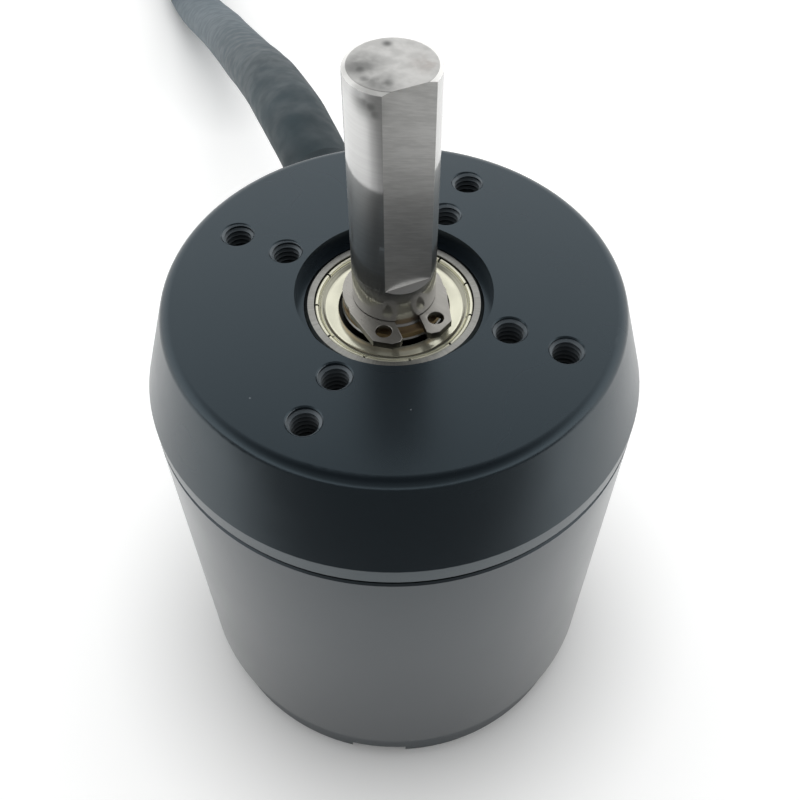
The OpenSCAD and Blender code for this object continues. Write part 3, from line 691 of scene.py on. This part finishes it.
def soft_rubber(name, base):
    """The lead's sleeve and grommet: matte, blue-grey black, with soft lumps, painted lighter far from
    the housing as a painted sheen, and with soft lighter patches that are partly a faint bloom and partly
    painted shading of the lumps.
    """
    g = Graph(name, 0.55)
    _, away, _ = g.polar()
    # Painted sheen: lighter the farther the sleeve runs from the housing
    tone = g.mix(g.remap(away, 30 * MM, 160 * MM), base, SLEEVE_FAR_SHEEN)
    # Soft lighter patches: partly a faint bloom, partly painted shading of the lumps
    bloom_and_shading = g.remap(g.noise(70, 3), 0.35, 0.7)
    g.set("Base Color", g.mix(g.times(bloom_and_shading, 0.25), tone, shade(base, 3.5)))
    g.set("Roughness", g.remap(g.noise(400, 2), 0.3, 0.7, 0.5, 0.62))
    g.set("IOR", 1.42)
    g.set("Specular Tint", (0.8, 0.93, 1.0))
    lumps = g.bump(g.noise(110, 2), 20e-6)
    g.set("Normal", g.bump(g.noise(3000, 2), 5e-6, normal=lumps))
    return g.material


def laminated_steel(name, base):
    """A stack of sheets, seen from its edges as fine layers."""
    g = Graph(name, 0.38, 0.9)
    _, _, height = g.axes(g.place)
    layer = g.math("PINGPONG", height, 0.175 * MM)
    seam = g.remap(layer, 0.0, 0.04 * MM)
    g.set("Base Color", g.mix(seam, shade(base, 0.35), base))
    g.set("Normal", g.bump(seam, 8e-6))
    return g.material


def circuit_board(name, base):
    """Green solder mask with fine tracks below it."""
    g = Graph(name, 0.3)
    cells = g.add("TexBrick", {"Vector": g.place, "Scale": 260.0, "Mortar Size": 0.03})
    g.set("Base Color", g.mix(cells.outputs["Fac"], base, shade(base, 1.9)))
    g.set("Normal", g.bump(cells.outputs["Fac"], 20e-6))
    return g.material


def finishes(settings):
    """Every material of the motor, by the name of its slot."""
    makers = {
        "black_anodised": (
            anodised, settings.anodised, settings.anodised_roughness, (0.66, 0.87, 1.0), True
        ),
        # Painted highlight: the threads' lighter colour stands in for light on their crests
        "thread_anodised": (anodised, settings.thread, 0.36, (0.9, 0.96, 1.0), False),
        "black_can": (anodised, settings.can, settings.can_roughness, (0.76, 0.9, 1.0), False),
        "bearing_steel": (turned_steel, settings.bearing, 0.33, 1.2e-6, True, True),
        "shield_steel": (pressed_steel, settings.shield, 0.16, True, 0.68),
        "spring_steel": (brushed_steel, settings.ring, 0.3, 20),
        "shaft_steel": (shaft_steel, settings),
        "shim_brass": (turned_steel, settings.shim, 0.35, 2e-6),
        "ball_steel": (turned_steel, (0.72, 0.72, 0.72), 0.06, 0.05e-6),
        "cage_steel": (pressed_steel, (0.5, 0.47, 0.4), 0.35, False),
        "magnet_nickel": (pressed_steel, (0.6, 0.58, 0.53), 0.25, False),
        "screw_steel": (brushed_steel, (0.07, 0.07, 0.075), 0.4, 0),
        "core_steel": (laminated_steel, (0.34, 0.34, 0.35)),
        "enamelled_copper": (moulded, (0.42, 0.12, 0.035), 0.25, 1500.0, 6e-6, 0.6),
        "insulator_nylon": (moulded, (0.7, 0.66, 0.55), 0.5),
        "circuit_board": (circuit_board, (0.015, 0.1, 0.035)),
        "sensor_plastic": (moulded, (0.02, 0.02, 0.02), 0.45),
        "grommet_rubber": (soft_rubber, shade(settings.sleeve, 0.75)),
        "lead_silicone": (moulded, (0.03, 0.032, 0.035), 0.5),
        "sleeve_silicone": (soft_rubber, settings.sleeve),
        "boot_shrink": (moulded, (0.012, 0.013, 0.014), 0.42, 1200.0, 12e-6),
        "lead_yellow": (moulded, (0.62, 0.38, 0.02), 0.45),
        "lead_blue": (moulded, (0.02, 0.07, 0.36), 0.45),
        "lead_green": (moulded, (0.02, 0.22, 0.06), 0.45),
        "sensor_jacket": (moulded, (0.015, 0.015, 0.016), 0.5),
        "gold_plate": (turned_steel, (0.83, 0.58, 0.22), 0.2, 0.6e-6),
        "plug_nylon": (moulded, (0.72, 0.7, 0.62), 0.4),
    }
    return {name: maker(name, *values) for name, (maker, *values) in makers.items()}


def finish_of(slot_name):
    """A material that the finish operator has made; the frame's plain ones have the bare slot names."""
    return bpy.data.materials[FINISH_PREFIX + slot_name]


def dress(piece, body, slot_name, *replaced):
    """Give a new piece the finish of its slot if it has none, put it in its body, and hide the CAD nodes
    that it stands for.
    """
    if not piece.data.materials:
        piece.data.materials.append(finish_of(slot_name))
    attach(piece, body)
    if replaced:
        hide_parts(*replaced)


class MOTOR_OT_finish_solids(bpy.types.Operator):
    """Make every finish and give each solid of the motor its own"""

    bl_idname = "motor.finish_solids"
    bl_label = "Finish of the solids"

    def execute(self, context):
        made = finishes(context.scene.motor_finish)
        for slot_name, material in made.items():
            material.name = FINISH_PREFIX + slot_name
        for part in frame["record"]["subparts"]:
            node = NODES[part["node"]]
            for material_slot in node.material_slots:
                material_slot.material = made[part["material_slot"]]
        return {"FINISHED"}


class MOTOR_OT_build_threads(bpy.types.Operator):
    """Line the eight mounting holes with a helical thread"""

    bl_idname = "motor.build_threads"
    bl_label = "Threads of the mounting holes"

    def execute(self, context):
        detail = context.scene.motor_detail
        pitch, foot, crest = detail.thread_pitch, detail.thread_outer + 0.02 * MM, detail.thread_inner
        half_foot, half_crest = (part * pitch for part in RIDGE_HALVES)
        bpy.ops.mesh.primitive_plane_add(size=MM)
        ridge = bpy.context.object
        start = 0.5 * pitch
        section = [(foot, -half_foot), (crest, -half_crest), (foot, half_foot), (crest, half_crest)]
        for corner, (radius, height) in zip(ridge.data.vertices, section):
            corner.co = (radius, 0, start + height)
        screw = ridge.modifiers.new("Thread", "SCREW")
        screw.angle = 2 * math.pi
        screw.screw_offset = -pitch
        screw.iterations = int((detail.thread_depth + start) / pitch)
        screw.steps = screw.render_steps = 32
        apply_modifiers(ridge)
        for vertex in ridge.data.vertices:
            reach = math.hypot(vertex.co.x, vertex.co.y)
            countersunk = detail.mouth_radius + vertex.co.z
            if reach < countersunk:
                vertex.co.x *= countersunk / reach
                vertex.co.y *= countersunk / reach
        edit_all()
        bpy.ops.mesh.bisect(
            plane_co=(0, 0, THREAD_TOP), plane_no=(0, 0, 1),
            use_fill=True, clear_outer=True, threshold=1e-7
        )
        bpy.ops.mesh.select_all(action="SELECT")
        bpy.ops.mesh.fill_holes(sides=4)
        leave_edit()
        close_and_orient(ridge)
        soften(ridge, 40)
        ridges = []
        for circle in HOLE_CIRCLES:
            for quarter in range(HOLES_IN_CIRCLE):
                turn = Matrix.Rotation(quarter * 2 * math.pi / HOLES_IN_CIRCLE, 4, "Z")
                ridges.append(copy_moved(ridge, turn @ Matrix.Translation((circle, 0, 0))))
        bpy.data.objects.remove(ridge)
        threads = join(ridges, "hole_threads")
        threads.data.materials.clear()
        threads.data.materials.append(finish_of("thread_anodised"))
        dress(threads, "stator", "black_anodised")
        return {"FINISHED"}


def shield_outline():
    """Half section of a bearing shield above the bearing's middle: rolled rim, rib, step and web."""
    base = BEARING_HALF - 0.9 * MM
    rim_middle, roll = 9.43 * MM, 0.23 * MM
    rim = [
        (rim_middle + roll * math.cos(a), base + 0.5 * MM + roll * math.sin(a))
        for a in (math.radians(d) for d in range(0, 181, 20))
    ]
    rest = [
        (9.16, 0.36), (9.06, 0.31), (8.98, 0.4), (8.9, 0.48), (8.78, 0.47), (8.66, 0.38), (8.45, 0.24),
        (8.28, 0.19), (8.1, 0.2), (6.9, 0.2), (6.8, 0.17), (6.77, 0.1), (6.77, -0.05), (8.5, -0.05),
        (8.9, 0.0), (9.7, 0.0),
    ]
    return rim + [(r * MM, base + h * MM) for r, h in rest]


class MOTOR_OT_build_shields(bpy.types.Operator):
    """Form the bearings' pressed shields, with slits in the rolled rim"""

    bl_idname = "motor.build_shields"
    bl_label = "Bearing shields"

    def execute(self, context):
        detail = context.scene.motor_detail
        steps_per_slit = 20
        steps = detail.crimp_count * steps_per_slit
        step = 2 * math.pi / steps
        shield = outline_object("shield", shield_outline())
        spin_round(shield, steps)
        shield.data.materials.append(finish_of("shield_steel"))
        shield.data.materials.append(crimp_shadow())
        rim_inside, rim_low = 9.1 * MM, BEARING_HALF - 0.5 * MM

        def in_slit(centre):
            turned = (math.atan2(centre.y, centre.x) - detail.crimp_first) % (2 * math.pi)
            column = int(turned / step)
            reach = math.hypot(centre.x, centre.y)
            return column % steps_per_slit == 0 and reach > rim_inside and centre.z > rim_low

        turn = Matrix.Rotation(detail.crimp_first % step, 4, "Z")
        shield.data.transform(turn)
        select_only(shield)
        bpy.ops.object.mode_set(mode="EDIT")
        select_faces(shield, in_slit)
        bpy.ops.mesh.extrude_region_move(TRANSFORM_OT_translate={"value": (0, 0, -detail.crimp_depth)})
        bpy.ops.mesh.select_more(use_face_step=False)
        shield.active_material_index = 1
        bpy.ops.object.material_slot_assign()
        leave_edit()
        close_and_orient(shield)
        soften(shield, 35)
        shields = []
        flip = Matrix.Rotation(math.pi, 4, "X")
        for centre in BEARING_CENTRES:
            lift = Matrix.Translation((0, 0, centre))
            shields += [copy_moved(shield, lift), copy_moved(shield, lift @ flip)]
        bpy.data.objects.remove(shield)
        dress(join(shields, "pressed_shields"), "stator", "shield_steel", "bearing_shields")
        return {"FINISHED"}


def crimp_shadow():
    """Painted shade deep in the shield's slits: dull dark metal, mottled."""
    g = Graph("crimp_shadow", 0.7, 0.6)
    # Painted shade: two dark tones, mottled
    shade_mottle = g.remap(g.noise(2500, 2), 0.3, 0.7)
    g.set("Base Color", g.mix(shade_mottle, (0.02, 0.02, 0.015), (0.06, 0.06, 0.045)))
    return g.material


def merged_copy(node, name, whole_faces=True):
    """A copy of a CAD node to be shaped, its triangles joined at their corners or into whole faces."""
    select_only(NODES[node])
    bpy.ops.object.duplicate(linked=False)
    piece = bpy.context.object
    piece.parent = None
    for key in list(piece.keys()):
        del piece[key]
    piece.name = piece.data.name = name
    edit_all()
    bpy.ops.mesh.customdata_custom_splitnormals_clear()
    bpy.ops.mesh.remove_doubles(threshold=1e-6)
    if whole_faces:
        bpy.ops.mesh.dissolve_limited(angle_limit=math.radians(1))
    bpy.ops.mesh.normals_make_consistent(inside=False)
    leave_edit()
    return piece


def bevel_edges(piece, width, angle):
    """Round every edge that is sharper than the angle."""
    bevel = piece.modifiers.new("Broken edge", "BEVEL")
    bevel.width = width
    bevel.segments = 3
    bevel.limit_method = "ANGLE"
    bevel.angle_limit = math.radians(angle)
    apply_modifiers(piece)


def break_edges(piece, width, angle):
    """Round every edge that is sharper than the angle, and keep the large faces looking flat or round."""
    bevel_edges(piece, width, angle)
    weigh_normals(piece, 35)


def weigh_normals(piece, angle):
    """Shade smooth so that large faces stay true and the narrow ones between them blend."""
    soften(piece, angle)
    level = piece.modifiers.new("Weighted normals", "WEIGHTED_NORMAL")
    level.keep_sharp = True
    apply_modifiers(piece)


def round_level_edges(piece, low, width):
    """Round the edges that lie level above a height, such as those of a turned chamfer."""
    select_only(piece)
    mesh = piece.data
    bpy.ops.object.mode_set(mode="EDIT")
    bpy.ops.mesh.select_mode(type="EDGE")
    bpy.ops.mesh.select_all(action="DESELECT")
    leave_edit()
    for edge in mesh.edges:
        first, second = (mesh.vertices[i].co for i in edge.vertices)
        edge.select = min(first.z, second.z) > low and abs(first.z - second.z) < 0.001 * MM
    bpy.ops.object.mode_set(mode="EDIT")
    bpy.ops.mesh.bevel(offset=width, segments=4, affect="EDGES", clamp_overlap=True)
    bpy.ops.mesh.select_mode(type="VERT")
    leave_edit()


class MOTOR_OT_build_retaining_ring(bpy.types.Operator):
    """Make the stamped retaining ring with broken edges"""

    bl_idname = "motor.build_retaining_ring"
    bl_label = "Retaining ring"

    def execute(self, context):
        ring = merged_copy("retaining_ring", "stamped_retaining_ring")
        break_edges(ring, context.scene.motor_detail.ring_edge, 60)
        dress(ring, "rotor", "spring_steel", "retaining_ring")
        return {"FINISHED"}


def edge_centre(radius):
    """Radius and height of the centre of a rounding between the face and the cone."""
    return EDGE_CORNER - radius * math.tan((math.pi / 2 - CONE_SLOPE) / 2), -radius


class MOTOR_OT_build_housing(bpy.types.Operator):
    """Make the front housing with a tighter rounding between its face and its cone"""

    bl_idname = "motor.build_housing"
    bl_label = "Front housing"

    def execute(self, context):
        wanted = context.scene.motor_detail.edge_rounding
        housing = merged_copy("front_housing", "anodised_housing", whole_faces=False)
        old_radius, old_height = edge_centre(EDGE_ROUNDING)
        new_radius, new_height = edge_centre(wanted)
        moved = 0
        for vertex in housing.data.vertices:
            x, y, z = vertex.co
            reach = math.hypot(x, y)
            out, up = reach - old_radius, z - old_height
            on_rounding = abs(math.hypot(out, up) - EDGE_ROUNDING) < 0.01 * MM
            if on_rounding and out > -0.001 * MM and up > 0:
                turn = math.atan2(out, up)
                placed = new_radius + wanted * math.sin(turn)
                vertex.co = (x * placed / reach, y * placed / reach, new_height + wanted * math.cos(turn))
                moved += 1
        if not moved:
            raise RuntimeError("No corner of the front housing lies on its rounded edge")
        weigh_normals(housing, 15)
        dress(housing, "stator", "black_anodised", "front_housing")
        return {"FINISHED"}


def slope_ledge(shaft, slope):
    """Let the ledge below the shaft's flat fall away outwards."""
    for vertex in shaft.data.vertices:
        along = vertex.co.x * math.cos(FLAT_DIRECTION) + vertex.co.y * math.sin(FLAT_DIRECTION)
        beyond = along - FLAT_REACH
        if beyond > 0 and abs(vertex.co.z - FLAT_FROM) < 0.001 * MM:
            vertex.co.z -= beyond * math.tan(slope)


def flatten_tip(shaft, wanted):
    """Make the chamfer at the shaft's tip less high, at the same width."""
    for vertex in shaft.data.vertices:
        below_top = SHAFT_TOP - vertex.co.z
        if below_top < TIP_CHAMFER + 0.001 * MM:
            vertex.co.z = SHAFT_TOP - below_top * wanted / TIP_CHAMFER


class MOTOR_OT_build_shaft(bpy.types.Operator):
    """Make the shaft with softly broken edges"""

    bl_idname = "motor.build_shaft"
    bl_label = "Shaft"

    def execute(self, context):
        detail = context.scene.motor_detail
        shaft = merged_copy("shaft", "ground_shaft")
        slope_ledge(shaft, detail.flat_runout)
        flatten_tip(shaft, detail.tip_height)
        round_level_edges(shaft, SHAFT_TOP - 1 * MM, detail.shaft_end)
        break_edges(shaft, detail.shaft_edge, 28)
        dress(shaft, "rotor", "shaft_steel", "shaft")
        return {"FINISHED"}


def smooth_curve(name, route, radius, resolution=8):
    """A round curve that runs smoothly through a route's points."""
    bpy.ops.curve.primitive_bezier_curve_add()
    curve = bpy.context.object
    curve.name = curve.data.name = name
    points = curve.data.splines[0].bezier_points
    points.add(len(route) - len(points))
    for point, place in zip(points, route):
        point.co = place
        point.handle_left_type = point.handle_right_type = "AUTO"
    curve.data.bevel_depth = radius
    curve.data.bevel_resolution = resolution
    curve.data.resolution_u = resolution
    curve.data.use_fill_caps = True
    return curve


# Creases and bulges of the sleeve: distance along it, direction round it from the picture's right over
# the top, how far each reaches along and round, and its height as a share of the deepest crease
SLEEVE_FOLDS = (
    (7.5, 80, 2.2, 28, -1.0), (14.5, 95, 2.4, 26, -1.0), (11, 118, 6.0, 16, 0.8), (18, 70, 5.0, 18, 0.6),
    (12, 50, 2.0, 18, -0.4), (23, 105, 2.2, 24, -0.5), (29, 75, 3.2, 26, -0.5), (36, 100, 6.0, 22, 0.5),
    (47, 80, 2.4, 22, -0.4), (64, 85, 9.0, 24, -0.5), (88, 100, 14.0, 24, 0.5), (130, 0, 24.0, 60, 1.0),
    (172, 0, 24.0, 60, 1.0), (190, 180, 11.0, 60, 2.6),
)


# Lengths along the sleeve: of a lump and of the neck; where it lies down and turns round again, and the
# length that each takes. Where it still hangs, it has a share of the flatness.
LUMP_LENGTH = 11 * MM
NECK_LENGTH = 12 * MM
LIES_FROM, LIES_DOWN_IN = 90 * MM, 60 * MM
ROUND_FROM, ROUND_IN = 180 * MM, 30 * MM
HANGING_SHARE = 0.3


def smooth_step(part):
    """0 below 0, 1 above 1, and an even rise between."""
    part = min(1.0, max(0.0, part))
    return part * part * (3 - 2 * part)


def sleeve_relief(walked, turn, lead):
    """How far the sleeve's skin stands out from a plain tube at a place along and round it."""
    height = 0.0
    for at, direction, reach_along, reach_round, part in SLEEVE_FOLDS:
        swing = (math.degrees(turn) - direction + 180) % 360 - 180
        fall = ((walked / MM - at) / reach_along) ** 2 + (swing / reach_round) ** 2
        height += part * lead.crease_depth * math.exp(-0.5 * fall)
    cell = Vector((walked / LUMP_LENGTH, 1.3 * math.cos(turn), 1.3 * math.sin(turn)))
    height += lead.lump_depth * (noise.noise(cell) - 1.0)
    neck = math.exp(-((walked / NECK_LENGTH) ** 2))
    return height - lead.sleeve_neck * neck


def centre_points(route, resolution):
    """The points that a smooth curve passes through along a route."""
    line = smooth_curve("centre_line", route, 0.0, resolution)
    bpy.ops.object.convert(target="MESH")
    line = bpy.context.object
    points = [vertex.co.copy() for vertex in line.data.vertices]
    bpy.data.objects.remove(line)
    return points


def kept_above(value, limit, band=MM):
    """A value pressed softly back so that it stays above a limit."""
    free = limit + band
    return value if value > free else limit + band * math.exp((value - free) / band)


def shape_sleeve(sleeve, centres, lead):
    """Crease and lump a plain tube, and flatten it where it lies on the table, inside the solid's box."""
    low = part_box("cable_sleeve")[0]
    steps = [0.0] + [(there - here).length for here, there in zip(centres, centres[1:])]
    nearest = kdtree.KDTree(len(centres))
    for index, centre in enumerate(centres):
        nearest.insert(centre, index)
    nearest.balance()
    walks = list(accumulate(steps))
    for vertex in sleeve.data.vertices:
        centre, index, _ = nearest.find(vertex.co)
        walked = walks[index]
        before, after = centres[max(index - 1, 0)], centres[min(index + 1, len(centres) - 1)]
        ahead = (after - before).normalized()
        side = ahead.cross(Vector((0, 0, 1))).normalized()
        up = side.cross(ahead)
        lying = HANGING_SHARE + (1 - HANGING_SHARE) * smooth_step((walked - LIES_FROM) / LIES_DOWN_IN)
        rounded = smooth_step((walked - ROUND_FROM) / ROUND_IN)
        flatness = lead.sleeve_flatness * lying * (1.0 - rounded)
        out = vertex.co - centre
        across, above = out.dot(side), out.dot(up)
        if out.length > 0.1 * MM:
            scale = 1.0 + sleeve_relief(walked, math.atan2(above, across), lead) / out.length
            vertex.co = centre + scale * ((1 + flatness) * across * side + (1 - flatness) * above * up)
            vertex.co.x = kept_above(vertex.co.x, low.x)
            vertex.co.z = kept_above(vertex.co.z, low.z)


class MOTOR_OT_build_sleeve(bpy.types.Operator):
    """Lay the sleeved lead along its route, creased where it leaves the housing"""

    bl_idname = "motor.build_sleeve"
    bl_label = "Sleeved lead"

    def execute(self, context):
        lead = context.scene.motor_lead
        smooth_curve("sleeved_lead", SLEEVE_ROUTE, lead.sleeve_diameter / 2, 14)
        bpy.ops.object.convert(target="MESH")
        sleeve = bpy.context.object
        shape_sleeve(sleeve, centre_points(SLEEVE_ROUTE, 14), lead)
        close_and_orient(sleeve)
        soften(sleeve, 60)
        dress(sleeve, "stator", "sleeve_silicone", "cable_sleeve")
        return {"FINISHED"}


# Where the boot is cut to be shaped, and where it draws in: place and spread along it, and how much
BOOT_CUTS = (0.08, 0.2, 0.35, 0.6, 0.8, 0.92)
BOOT_WAISTS = ((0.0, 0.12, 0.115), (0.55, 0.2, 0.03))


class MOTOR_OT_build_boot(bpy.types.Operator):
    """Shrink a boot over the sleeve's end, where the lead splits"""

    bl_idname = "motor.build_boot"
    bl_label = "Shrink boot"

    def execute(self, context):
        low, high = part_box("lead_boot")
        middle, reach = (low + high) / 2, high.x - low.x
        radius = (high.z - low.z) / 2
        bpy.ops.mesh.primitive_cylinder_add(vertices=48, radius=radius, depth=reach, end_fill_type="NGON")
        boot = bpy.context.object
        boot.name = boot.data.name = "shrink_boot"
        boot.data.transform(Matrix.Translation(middle) @ Matrix.Rotation(math.pi / 2, 4, "Y"))
        bpy.ops.object.mode_set(mode="EDIT")
        for share_of_length in BOOT_CUTS:
            bpy.ops.mesh.select_all(action="SELECT")
            bpy.ops.mesh.bisect(
                plane_co=(low.x + share_of_length * reach, middle.y, middle.z), plane_no=(1, 0, 0)
            )
        select_faces(boot, lambda centre: centre.x > high.x - 0.001 * MM)
        bpy.ops.mesh.inset(thickness=1.1 * MM)
        bpy.ops.transform.translate(value=(-0.7 * MM, 0, 0))
        leave_edit()
        for vertex in boot.data.vertices:
            part = (vertex.co.x - low.x) / reach
            waist = 1.0
            for at, spread, depth in BOOT_WAISTS:
                waist -= depth * math.exp(-((part - at) / spread) ** 2)
            vertex.co.y = middle.y + (vertex.co.y - middle.y) * waist
            vertex.co.z = middle.z + (vertex.co.z - middle.z) * waist
        bevel_edges(boot, 0.5 * MM, 50)
        close_and_orient(boot)
        soften(boot, 50)
        dress(boot, "stator", "boot_shrink", "lead_boot")
        return {"FINISHED"}


def lay_lead(name, node, route, diameter, slot_name):
    """Lay one thin lead along its route, in place of its solid."""
    wire = smooth_curve(name, route, diameter / 2 - CURVE_DIP, 6)
    dress(wire, "stator", slot_name, node)


class MOTOR_OT_build_leads(bpy.types.Operator):
    """Lay the three phase leads and the sensor lead from the boot to their plugs"""

    bl_idname = "motor.build_leads"
    bl_label = "Phase and sensor leads"

    def execute(self, context):
        lead = context.scene.motor_lead
        phases = (
            ("a", PHASE_ROUTE_A, "lead_yellow"),
            ("b", PHASE_ROUTE_B, "lead_blue"),
            ("c", PHASE_ROUTE_C, "lead_green"),
        )
        for phase, route, slot_name in phases:
            lay_lead(
                "phase_wire_" + phase, "phase_lead_" + phase, route, lead.phase_diameter,
                slot_name,
            )
        lay_lead(
            "sensor_cord", "sensor_lead", SENSOR_ROUTE, lead.sensor_diameter,
            "sensor_jacket",
        )
        return {"FINISHED"}


# Stage

# The floor, where in front of the motor it turns darker in mirrors as painted shade, and the reach of the
# dark along its contact
FLOOR_SIZE = 6.0
FLOOR_GAP = 0.02 * MM
FRONT_SHADE_BAND = (0.05, 0.13)
CONTACT_REACH = 0.022

# Where the surroundings change: towards overhead and above the horizon, by the height of a direction's
# tip, and towards the front, by how far it lies along it
OVERHEAD_BAND = (0.6, 0.95)
HORIZON_BAND = (0.0, 0.15)
FRONT_BAND = (0.4, 0.85)

# The softbox: its height, how far it stands behind the motor, and its side
SOFTBOX_HEIGHT = 1.45
SOFTBOX_BACK = 0.35
SOFTBOX_SIDE = 1.1


def floor_material(stage, front):
    """Pale matte sheet that glows a little where it is seen or mirrored, less so in the motor's shadow.
    In mirrors it is painted darker in front of the motor: painted shade for the darker room on that side."""
    g = Graph("floor", 0.7)
    path = g.add("LightPath").outputs
    mirrored = g.math("MAXIMUM", path["Is Glossy Ray"], path["Is Transmission Ray"])
    seen = g.math("MAXIMUM", path["Is Camera Ray"], mirrored)
    # Painted shade: seen in mirrors, the floor in front of the motor is darker
    painted_front_shade = g.times(g.remap(g.along(g.place, front), *FRONT_SHADE_BAND), mirrored)
    tone = g.mix(g.remap(g.noise(9, 3), 0.3, 0.7), shade(stage.floor, 0.99), stage.floor)
    g.set("Base Color", g.mix(painted_front_shade, tone, shade(stage.floor, stage.front_level)))
    g.set("Specular IOR Level", 0.0)
    open_sky = g.add("AmbientOcclusion", {"Distance": CONTACT_REACH}).outputs["AO"]
    glow = g.times(g.times(open_sky, open_sky), stage.floor_glow)
    g.set("Emission Color", (1.0, 1.0, 1.0))
    outside_front_shade = g.math("SUBTRACT", 1.0, painted_front_shade)
    g.set("Emission Strength", g.times(g.times(seen, glow), outside_front_shade))
    return g.material


def white_world(stage, front):
    """White surroundings, darker overhead and, above the horizon, in front of the motor."""
    world = bpy.data.worlds.new("surroundings")
    bpy.context.scene.world = world
    world.use_nodes = True
    t = Tree(world.node_tree)
    background = t.tree.nodes["Background"]
    background.inputs["Color"].default_value = (1, 1, 1, 1)
    direction = t.add("TexCoord").outputs["Generated"]
    rise = t.axes(direction)[2]
    level = t.remap(rise, *OVERHEAD_BAND, stage.horizon_level, stage.overhead_level)
    in_front = t.remap(t.along(direction, front), *FRONT_BAND, 0.0, 1.0 - stage.front_level)
    above_horizon = t.remap(rise, *HORIZON_BAND)
    kept = t.math("SUBTRACT", 1.0, t.times(in_front, above_horizon))
    t.put(background.inputs["Strength"], t.times(level, kept))


def softbox(name, place, power):
    """A large soft lamp that points at the motor."""
    bpy.ops.object.light_add(type="AREA")
    lamp = bpy.context.object
    lamp.name = name
    lamp.data.shape = "RECTANGLE"
    lamp.data.size = lamp.data.size_y = SOFTBOX_SIDE
    lamp.data.energy = power
    lamp.location = place
    lamp.rotation_mode = "QUATERNION"
    lamp.rotation_quaternion = (-place).to_track_quat("-Z", "Y")
    return lamp


class MOTOR_OT_build_stage(bpy.types.Operator):
    """Add the floor, the white surroundings, the soft lamp and the camera"""

    bl_idname = "motor.build_stage"
    bl_label = "Stage, light and camera"

    def execute(self, context):
        stage = context.scene.motor_stage
        bpy.ops.mesh.primitive_plane_add(size=FLOOR_SIZE)
        floor = bpy.context.object
        floor.name = "floor"
        floor.data.transform(Matrix.Translation((0, 0, FLOOR_Z - FLOOR_GAP)))
        back = Vector(stage.camera_back)
        level_front = Vector((back.x, back.y, 0)).normalized()
        floor.data.materials.append(floor_material(stage, level_front))
        rise = stage.front_elevation
        white_world(stage, level_front * math.cos(rise) + Vector((0, 0, math.sin(rise))))
        place = Vector((0, 0, SOFTBOX_HEIGHT)) - SOFTBOX_BACK * level_front
        lamp = softbox("overhead_softbox", place, stage.softbox_power)
        lamp.visible_glossy = False

        bpy.ops.object.camera_add()
        camera = bpy.context.object
        camera.data.lens = stage.lens
        camera.data.sensor_width = 36
        camera.data.clip_start = 0.01
        camera.location = stage.camera_place
        camera.rotation_mode = "QUATERNION"
        camera.rotation_quaternion = (-back).to_track_quat("-Z", "Y")
        context.scene.camera = camera
        context.scene.view_settings.view_transform = "Standard"
        return {"FINISHED"}


class MOTOR_PT_panel(bpy.types.Panel):
    """The motor's steps, in the order in which they run"""

    bl_label = "Outrunner motor"
    bl_idname = "MOTOR_PT_panel"
    bl_space_type = "VIEW_3D"
    bl_region_type = "UI"
    bl_category = "Motor"

    def draw(self, context):
        for operator in OPERATORS:
            self.layout.operator(operator.bl_idname)


OPERATORS = (
    MOTOR_OT_build_stage,
    MOTOR_OT_finish_solids,
    MOTOR_OT_build_boot,
    MOTOR_OT_build_sleeve,
    MOTOR_OT_build_leads,
    MOTOR_OT_build_housing,
    MOTOR_OT_build_threads,
    MOTOR_OT_build_shields,
    MOTOR_OT_build_retaining_ring,
    MOTOR_OT_build_shaft,
)


def register():
    """Register the settings, the operators and the panel."""
    for name, group in SETTING_GROUPS:
        bpy.utils.register_class(group)
        setattr(bpy.types.Scene, name, bpy.props.PointerProperty(type=group))
    for operator in OPERATORS:
        bpy.utils.register_class(operator)
    bpy.utils.register_class(MOTOR_PT_panel)


def unregister():
    """Remove what register added."""
    bpy.utils.unregister_class(MOTOR_PT_panel)
    for operator in reversed(OPERATORS):
        bpy.utils.unregister_class(operator)
    for name, group in reversed(SETTING_GROUPS):
        delattr(bpy.types.Scene, name)
        bpy.utils.unregister_class(group)


def main():
    """Build everything in order."""
    register()
    for operator in OPERATORS:
        group, name = operator.bl_idname.split(".")
        getattr(getattr(bpy.ops, group), name)()


if __name__ == "__main__":
    main()
